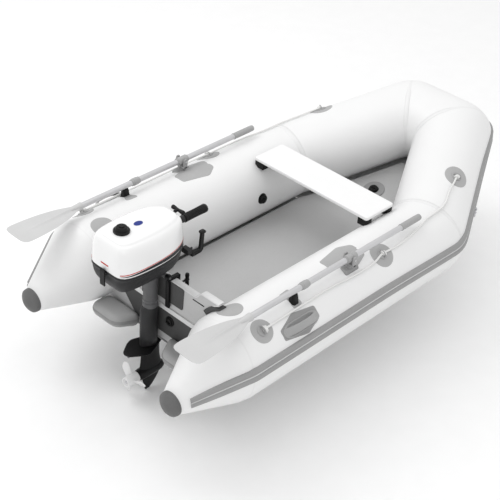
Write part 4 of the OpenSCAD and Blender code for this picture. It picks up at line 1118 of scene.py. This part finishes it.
def cowl_surface(theta, z_share):
    """A point and outward direction on the cowl's side, at a share of its height to the shoulder."""
    def at(t, h):
        k = np.interp(h, [r[0] for r in COWL_RINGS], range(len(COWL_RINGS)))
        lo = int(min(k, len(COWL_RINGS) - 2))
        f = k - lo
        return (1 - f) * cowl_point(t, *COWL_RINGS[lo]) + f * cowl_point(t, *COWL_RINGS[lo + 1])
    h = z_share * 110
    p = at(theta, h)
    n = np.cross(at(theta + 0.01, h) - at(theta - 0.01, h), at(theta, h + 2) - at(theta, h - 2))
    return p, unit(n)


def decal(name, theta_from, theta_to, low, high, finish, slot, steps=48):
    """A thin stripe on the cowl's side. low and high give its edges at a share from 0 to 1."""
    parts = []
    for sign in (1, -1):
        rows = []
        for t in np.linspace(0, 1, steps):
            theta = theta_from + (theta_to - theta_from) * t
            ring = []
            for h, lift in ((low(t), -0.3), (low(t), 0.5), ((low(t) + high(t)) / 2, 0.6),
                            (high(t), 0.5), (high(t), -0.3)):
                p, n = cowl_surface(theta, h)
                q = p + n * lift * (1 if (n @ (p - V(COVER_X, 0, p[2]))) > 0 else -1)
                ring.append(V(q[0], q[1] * sign, q[2]))
            rows.append(ring)
        parts.append(loft_mesh(rows, closed=False, caps=(False, False)))
    add(name, *join(*parts), finish, "motor", slot, crease=60)


FRONT_END, REAR_END = math.radians(33), math.radians(141)
decal("stripe_dark", FRONT_END, REAR_END, lambda t: 0.05 + 0.03 * t,
      lambda t: 0.05 + 0.03 * t + 0.175 * (1 - t ** 3) + 0.004, STRIPE, "cowl_white")
decal("stripe_red", FRONT_END, REAR_END, lambda t: 0.265 - 0.125 * t ** 2.2,
      lambda t: 0.295 - 0.115 * t ** 2.2, RED, "cowl_white")
decal("stripe_rear", math.radians(168), math.radians(180.5), lambda t: 0.27, lambda t: 0.34, RED,
      "cowl_white", 12)

badge_outline = [(24 * math.cos(a), 17 * math.sin(a)) for a in turn(40)]
BADGE_X, TOP_Z = -130.0, SEAM_Z + 163.9


def on_top(a, b, t):
    """A place on the cowl's top, which follows its slope."""
    x = BADGE_X + a
    return V(x, b, TOP_Z - 11 * front_share(x) + t)


add("badge_field", *plate_mesh(badge_outline, on_top, -1, 1.1), BADGE, "motor", "cowl_white", crease=50)
add("badge_rim", *loft_mesh([[on_top(a * k, b * k, t) for a, b in badge_outline] for k, t in
                             ((1.0, -1), (1.0, 1.4), (1.12, 1.4), (1.14, -1))], caps=(False, False)),
    COWL, "motor", "cowl_white", crease=50)

cap_node = centre_mm("fuel_cap")
cap_foot = V(cap_node[0], 0, box_mm("fuel_cap")[1][2] - 31)
KNURLS = 24


def knurled(h, r, depth):
    """A toothed ring of the fuel cap."""
    return [cap_foot + V((r + depth * (k % 2)) * math.cos(a), (r + depth * (k % 2)) * math.sin(a), h)
            for k, a in enumerate(turn(2 * KNURLS))]


fuel_parts = join(loft_mesh([knurled(h, r, 1.6) for h, r in ((-7, 35), (0.5, 37.2), (10, 37.2),
                                                            (12.5, 34.5), (13, 26))]),
                  lathe_mesh(cap_foot, Z, [(12, 30), (14, 29.5), (24, 26.5), (27, 24), (28, 16),
                                           (27, 13), (31, 12), (31.5, 0)], 40))
add("filler_cap", *fuel_parts, BLACK, "fuel_cap", "black_fitting", ["fuel_cap"], crease=35)

# Starter pull: a T handle with swollen ends, and its boss on the cowl
start_lo, start_hi = box_mm("starter_handle")
START_Y, START_Z = (start_lo[1] + start_hi[1]) / 2, (start_lo[2] + start_hi[2]) / 2
BAR_X = start_hi[0] - 9
t_bar = lathe_mesh(V(BAR_X, START_Y - 42, START_Z), Y, [(0, 0), (0.8, 6), (4, 10), (10, 11), (24, 9.6),
                   (34, 8), (42, 7.6), (50, 8), (60, 9.6), (74, 11), (80, 10), (83.2, 6), (84, 0)], 24)
t_stem = lathe_mesh(V(BAR_X - 26, START_Y, START_Z), X, [(0, 4), (1, 7), (8, 8), (16, 7.5), (24, 7)], 24)
t_rope = lathe_mesh(V(12, START_Y, START_Z), X, [(0, 2.5), (BAR_X - 30, 2.5)], 12)
add("starter_grip", *join(t_bar, t_stem, t_rope), BLACK, "starter_handle", "black_fitting",
    ["starter_handle"], crease=50)
boss_rows = lathe_mesh(V(58, START_Y, START_Z - 4), X, [(0, 17), (14, 17), (22, 15), (26, 11), (26, 5.4)],
                       28)
add("starter_boss", *boss_rows, BLACK, "motor", "motor_grey", crease=40)

# Brackets for the tiller, the gear lever and the latch, all on the lower cover
front_x = COVER_FRONT + 0.2
PIN_X, TILLER_PIN_Z = 119.0, 538.0
LEVER_PIN = V(PIN_X, -100, 492)
pan_parts = [
    block_mesh((front_x - 14, 44, 522), (front_x + 4, 76, 553)),
    block_mesh((front_x + 3, 44.3, 526), (131, 53.5, 551)),
    block_mesh((front_x + 3, 66.5, 526), (131, 75.7, 551)),
    block_mesh((front_x - 22, -110, 506), (front_x + 4, -66, 533)),
    block_mesh((front_x + 3, -91.8, 505), (128, -84.2, 523)),
    lathe_mesh(LEVER_PIN + V(0, 8.1, 0), Y, [(0, 11), (1, 12), (6.8, 12), (7.7, 11)], 28),
    lathe_mesh(V(PIN_X, 42, TILLER_PIN_Z), Y, [(0, 4), (1, 7), (3, 7), (3, 4.9), (34, 4.9), (34, 7), (36, 7),
                                    (36.5, 4)], 20),
    block_mesh((COVER_BACK + 3.7, -20, 546), (COVER_BACK + 12, 20, 556)),
    block_mesh((COVER_BACK - 9, -20, 546), (COVER_BACK + 5, -16.8, 557)),
    block_mesh((COVER_BACK - 9, 16.8, 546), (COVER_BACK + 5, 20, 557)),
]
add("cover_brackets", *join(*pan_parts), PAN, "motor", "motor_grey", ["engine_pan"], bevel=1.2,
    segments=2, crease=35)
latch_lo, latch_hi = box_mm("cowl_latch")
latch_side = round_corners([(latch_hi[0], 484), (latch_lo[0] + 1, 483), (latch_lo[0], 500),
                            (latch_lo[0], 560), (latch_lo[0] + 3, 574), (latch_hi[0], 575),
                            (latch_hi[0], 560), (latch_hi[0] - 1, 520)], 3, 3)
latch_parts = join(plate_mesh(latch_side, upright(), -15, 15),
                   lathe_mesh(V(-340, -19.8, 552), Y, [(0, 3), (0.6, 3.9), (39, 3.9), (39.6, 3)], 16))
add("rear_latch", *latch_parts, BLACK, "cowl_latch", "black_fitting", ["cowl_latch"], bevel=1.0,
    crease=35)

# ---------------------------------------------------------------- tiller, throttle, gear lever

grip_lo, grip_hi = box_mm("throttle_grip")
GRIP_X, GRIP_Z, TILLER_Y = grip_lo[0], (grip_lo[2] + grip_hi[2]) / 2, 60.0
arm_path = smooth_points([V(x, TILLER_Y, z) for x, z in (
    (116, 537), (130, 541), (148, 558), (166, 570), (188, GRIP_Z), (GRIP_X - 1, GRIP_Z))], 4)
arm_scale = [0.62 + 0.38 * ease(i / 12) for i in range(len(arm_path))]
arm_parts = join(sweep_mesh(arm_path, rounded(21, 27, 6, 4), scale=arm_scale),
                 lathe_mesh(V(PIN_X, TILLER_Y - 6.1, TILLER_PIN_Z), Y,
                            [(0, 9.5), (1, 11), (11.2, 11), (12.2, 9.5)], 28),
                 lathe_mesh(V(GRIP_X - 22, TILLER_Y, GRIP_Z), X, [(0, 15), (2, 18), (18, 19), (21, 17),
                                                                 (21.6, 8)], 32),
                 lathe_mesh(V(GRIP_X - 2, TILLER_Y, GRIP_Z), X, [(0, 7.9), (110, 7.9)], 20))
add("tiller_casting", *arm_parts, LEG, "tiller", "motor_grey", ["tiller_arm"], crease=45)
RIDGES = 20


def ribbed(h, r, depth):
    """A ring of the twist grip with grooves of that depth."""
    out = []
    for k, a in enumerate(turn(4 * RIDGES)):
        d = depth if k % 4 in (1, 2) else 0
        out.append(V(GRIP_X + h, TILLER_Y + (r - d) * math.cos(a), GRIP_Z + (r - d) * math.sin(a)))
    return out


throttle_rows = [ribbed(h, r, d) for h, r, d in (
    (0.3, 14, 0), (0.5, 20, 0), (3, 22, 0), (12, 22, 0), (14, 19.6, 0), (17, 19.6, 0), (19, 21.4, 1.6),
    (60, 20.6, 1.6), (104, 21.2, 1.6), (126, 21.8, 1.6), (130, 22, 0), (140, 22, 0), (144.5, 20, 0),
    (146, 15, 0))]
loft("twist_grip", throttle_rows, BLACK, "throttle", "black_fitting", ["throttle_grip"], crease=35)

lever_outline = round_corners([(-9, -9), (6, -11), (54, -9), (66, 4), (69, 96), (50, 97), (44, 12),
                               (4, 11), (-9, 8)], 6, 4)
lever_parts = join(
    plate_mesh(lever_outline, upright(*LEVER_PIN), -6.4, 6.4),
    lathe_mesh(LEVER_PIN + V(0, -7, 0), Y, [(0, 9.5), (1, 11), (13.4, 11), (14.4, 9.5)], 28),
    lathe_mesh(LEVER_PIN + V(0, -6, 0), Y, [(0, 4.9), (22, 4.9)], 16),
    loft_mesh([[LEVER_PIN + V(60 + a * k, b * k, z) for a, b in rounded(31, 26, 7, 4)] for z, k in
               ((96.5, 0.86), (98, 0.97), (103, 1.0), (106, 0.95), (107, 0.84))]))
add("gear_selector", *lever_parts, BLACK, "shift_lever", "black_fitting", ["shift_lever"], bevel=1.4,
    segments=2, crease=35)

# ---------------------------------------------------------------- clamp, swivel, leg, gearcase, propeller

LEG_X = -50.0
ARM_Y, ARM_HALF = 81.0, 11.0
TILT_X, TILT_Z = -14.0, 412.0
SCREW_Z = 340.0
arm_outline = round_corners([(-20, 236), (-5.4, 236), (-5.4, NOTCH_TOP + 0.6), (43, NOTCH_TOP + 0.6),
                             (43, 318), (56, 318), (56, 392), (46, 404), (6, 406), (0, 424), (-14, 427),
                             (-27, 421), (-29, 406), (-21, 392)], 5, 4)
clamp_parts = []
for c in (-ARM_Y, ARM_Y):
    clamp_parts.append(plate_mesh(arm_outline, upright(y=c), -ARM_HALF + 3, ARM_HALF - 3))
    for long, tall, x, z in ((13, 86, 49.5, 361), (76, 13, 18, 397.4), (14.4, 150, -12.8, 312)):
        clamp_parts.append(plate_mesh(rounded(long, tall, 3), upright(x, c, z), -ARM_HALF, ARM_HALF))
    clamp_parts.append(lathe_mesh(V(56, c, SCREW_Z), X,
                                  [(-12, 13), (1, 13), (4, 12), (5, 10), (5, 6.2)], 28))
    clamp_parts.append(lathe_mesh(V(TILT_X, c - ARM_HALF, TILT_Z), Y,
                                  [(0, 13), (1, 15), (21, 15), (22, 13)], 28))
add("clamp_castings", *join(*clamp_parts), GEAR, "hull", "motor_black", ["clamp_bracket"], bevel=1.4,
    segments=2, crease=35)
for side, s in SIDES:
    foot = V(BOARD_T + 5.1, ARM_Y, SCREW_Z)
    threads = [(q, r) for k in range(15) for q, r in ((4 + 4.4 * k, 5.9), (6 + 4.4 * k, 5.2))]
    screw = join(lathe_mesh(foot, X, [(0, 13), (0.4, 15), (2.4, 15), (3, 10)] + threads + [(74, 5.9)], 24),
                 lathe_mesh(V(110, ARM_Y, 304), Z, [(0, 4), (2, 9), (10, 11), (26, 9), (36, 8.4), (46, 9),
                                                    (62, 11), (70, 9), (72, 4)], 20),
                 lathe_mesh(V(99, ARM_Y, SCREW_Z), X, [(0, 7), (2, 9), (18, 9), (20, 7)], 20))
    add("clamp_handle_" + side, *for_side(screw, s), BLACK, "clamp_screw_" + side, "motor_black",
        ["clamp_screw_" + side], crease=40)

SLEEVE_LOW = box_mm("swivel_bracket")[0][2]
swivel_parts = join(
    lathe_mesh(V(LEG_X, 0, SLEEVE_LOW), Z, [(0, 26.3), (0, 36), (3, 38), (16, 38), (18, 35.5), (120, 34.5),
               (150, 36), (158, 38), (178, 38), (182, 36), (182, 26.3)], 48),
    plate_mesh(rounded(46, 26, 8), upright(-33, 0, TILT_Z), -40, 40),
    lathe_mesh(V(TILT_X, -69, TILT_Z), Y, [(0, 11), (1, 13), (137, 13), (138, 11)], 32),
    lathe_mesh(V(TILT_X, -96, TILT_Z), Y, [(0, 4), (1, 5.9), (191, 5.9), (192, 4)], 16),
    *[plate_mesh(round_corners([(-46, 262), (-22, 268), (-14, 330), (-14, 404), (-46, 404)], 8, 3),
                 upright(y=c), -3, 3) for c in (-14, 14)])
add("swivel_casting", *swivel_parts, LEG_LIGHT, "swivel", "motor_black", ["swivel_bracket"], bevel=1.2,
    segments=2, crease=35)


def wing(x_front, x_back, half, z, sides=40, nose=0.42):
    """A streamlined outline in plan: round nose, finer tail."""
    mid = x_back + (x_front - x_back) * (1 - nose)
    out = []
    for a in turn(sides):
        c, s = math.cos(a), math.sin(a)
        if c > 0:
            out.append(V(mid + (x_front - mid) * c, half * s, z))
        else:
            side = half * math.copysign(abs(s) ** 0.8, s) * (1 - 0.35 * c * c)
            out.append(V(mid + (mid - x_back) * c, side, z))
    return out


leg_rows = [wing(*row) for row in (
    (-10, -107, 34, -2), (-9.2, -109, 36.5, 2), (-9, -110, 37.5, 60), (-9, -110, 37.5, 150),
    (-9.2, -109, 38, 200), (-10, -103, 38, 214), (-11.5, -95, 38, 221), (-12.2, -90, 37.5, 226))]
loft("leg_casing", leg_rows, LEG, "motor", "motor_grey", crease=50)
leg_collar = [lathe_mesh(V(LEG_X, 0, z), Z, profile, sides) for z, profile, sides in (
    (222, [(0, 34), (2, 38), (24, 38), (27, 36), (27.6, 26)], 48),
    (SLEEVE_LOW - 1, [(0, 26), (205, 26)], 40),
    (433, [(0, 26.2), (1, 38), (8, 44), (24, 47), (28, 46)], 48))]
add("leg_collar", *join(*leg_collar), LEG_LIGHT, "motor", "motor_grey", ["leg_housing"], crease=40)

PROP_X, PROP_Z, PROP_R = -166.0, -180.0, 94.0
plate_side = [(62, 22), (-20, 60), (-62, 73), (-94, 62), (-150, 24)]
plate_path = round_corners([(LEG_X + x, y) for x, y in (
    [(80, 0)] + plate_side + [(-161, 0)] + [(x, -y) for x, y in plate_side[::-1]])], 26)
plate_rows = []
for t, k in ((0, 0.93), (0.8, 0.985), (2.8, 1.0), (4.8, 0.985), (5.6, 0.93)):
    plate_rows.append([V(LEG_X + (x - LEG_X) * k, y * k, -8 + t) for x, y in plate_path])
strut_rows = [wing(*row) for row in (
    (12, -105, 22, -4), (12, -105, 22, -10), (12, -104, 19, -60), (14, -108, 20, -110),
    (20, -112, 22, -140), (27, -116, 24, -156))]
torpedo = lathe_mesh(V(-128, 0, PROP_Z), X, [(0, 25), (1, 27), (20, 30.5), (40, 31), (116, 30.5), (140, 27.5),
                     (156, 21.5), (166, 15), (172, 8), (174, 2), (174, 0)], 40)
skeg_rows = []
for z, x0, x1, w in ((-190, 30, -96, 5.5), (-205, 24, -97, 4.6), (-235, 12, -93, 4.0),
                     (-262, -8, -86, 3.4), (-285, -30, -80, 2.8), (-296, -42, -77, 2.0),
                     (-300, -48, -74, 0.8)):
    skeg_rows.append(wing(x0, x1, w, z, sides=24, nose=0.3))
add("gear_casting", *join(loft_mesh(plate_rows), loft_mesh(strut_rows), torpedo, loft_mesh(skeg_rows)),
    GEAR, "motor", "motor_black", ["gearcase"], crease=45)
trim_tab = plate_mesh(round_corners([(-150, -8), (-196, -9), (-190, -34), (-160, -30)], 6, 3),
                      upright(), -2.5, 2.5)
add("trim_anode", *trim_tab, CAST, "motor", "motor_black", bevel=1, crease=35)


def prop_blade(turn):
    """A wide blade whose pitch eases off from root to tip."""
    rows = []
    for t in np.linspace(0, 1, 15):
        r = 20 + (PROP_R - 20) * t
        chord = 36 * (0.62 + 1.05 * t - 0.25 * t * t) * math.sqrt(max(0.0, 1 - t ** 5)) + 1.5
        pitch = math.atan2(118, 2 * math.pi * r) + 0.12
        thick = 5.2 * (1 - t) + 1.5
        rake = 2 - 10 * t * t
        ring = []
        for u, w in circle(1, 18):
            c = chord * 0.5 * u
            n = thick * 0.5 * w
            dx = c * math.sin(pitch) + n * math.cos(pitch) + rake
            arc = (c * math.cos(pitch) - n * math.sin(pitch)) / max(r, 30)
            a = turn + arc
            ring.append(V(PROP_X - dx, r * math.sin(a), PROP_Z + r * math.cos(a)))
        rows.append(ring)
    return loft_mesh(rows)


hub = lathe_mesh(V(-205, 0, PROP_Z), X, [(6, 17), (0.5, 18.5), (0, 23), (3, 24.5), (40, 27.5), (68, 28.8),
                 (72, 28.4), (73, 24), (73, 12)], 44)
blades = [prop_blade(math.radians(40 + 120 * k)) for k in range(3)]
add("screw_propeller", *join(hub, *blades), PROP, "propeller", "prop_paint", ["propeller"], crease=50)
nut = join(lathe_mesh(V(-199, 0, PROP_Z), X, [(0, 0), (0.5, 12), (2, 14), (12, 14), (13, 8)], 6),
           lathe_mesh(V(-203.5, 0, PROP_Z), X, [(0, 5), (1, 7.8), (60, 7.8)], 20))
add("prop_nut", *nut, STEEL, "propeller", "stainless", crease=30)

# ---------------------------------------------------------------- camera, light and floor

AZIMUTH, ELEVATION, ROLL = (math.radians(v) for v in (41.7677, 35.1181, 4.2299))
DISTANCE, LOOK_AT = 6.1454, Vector((0.64183, 0.00875, 0.21530))
FOCAL_MM, SENSOR_MM = 86.496, 36.0
back = Vector((-math.cos(AZIMUTH) * math.cos(ELEVATION), -math.sin(AZIMUTH) * math.cos(ELEVATION),
               math.sin(ELEVATION)))
right = (-back).cross(Vector((0, 0, 1))).normalized()
up = right.cross(-back)
turned_right = right * math.cos(ROLL) + up * math.sin(ROLL)
turned_up = up * math.cos(ROLL) - right * math.sin(ROLL)
camera = bpy.data.objects.new("camera", bpy.data.cameras.new("camera"))
bpy.context.scene.collection.objects.link(camera)
camera.data.sensor_width = SENSOR_MM
camera.data.lens = FOCAL_MM
basis = Matrix((turned_right, turned_up, back)).transposed()
camera.matrix_world = Matrix.Translation(LOOK_AT + back * DISTANCE) @ basis.to_4x4()
camera.data.clip_end = 100
bpy.context.scene.camera = camera


def area_light(name, where, look, size, power):
    light = bpy.data.lights.new(name, "AREA")
    light.shape = "DISK"
    light.size = size
    light.energy = power
    o = bpy.data.objects.new(name, light)
    o.location = where
    o.rotation_mode = "QUATERNION"
    o.rotation_quaternion = (Vector(look) - Vector(where)).to_track_quat("-Z", "Y")
    bpy.context.scene.collection.objects.link(o)


area_light("key", (-1.0, 3.2, 5.2), (0.9, 0, 0.2), 3.6, 90)
area_light("fill", (-3.0, -3.5, 3.0), (0.9, 0, 0.2), 3.0, 14)
area_light("top", (1.0, 0, 5.5), (0.9, 0, 0.2), 4.0, 36)

world = bpy.data.worlds.new("studio")
world.use_nodes = True
world.node_tree.nodes["Background"].inputs["Color"].default_value = (1, 1, 1, 1)
world.node_tree.nodes["Background"].inputs["Strength"].default_value = 0.9
bpy.context.scene.world = world
bpy.context.scene.view_settings.view_transform = "Standard"

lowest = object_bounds()[0][2]
ground = bpy.data.meshes.new("studio_floor")
EXTENT = 60.0
ground.from_pydata([(-EXTENT, -EXTENT, lowest), (EXTENT, -EXTENT, lowest), (EXTENT, EXTENT, lowest),
                    (-EXTENT, EXTENT, lowest)], [], [(0, 1, 2, 3)])
ground.materials.append(material("studio_floor", 0.93, 0.9, mottle=0.01, grain=0.02))
studio = bpy.data.objects.new("studio_floor", ground)
bpy.context.scene.collection.objects.link(studio)
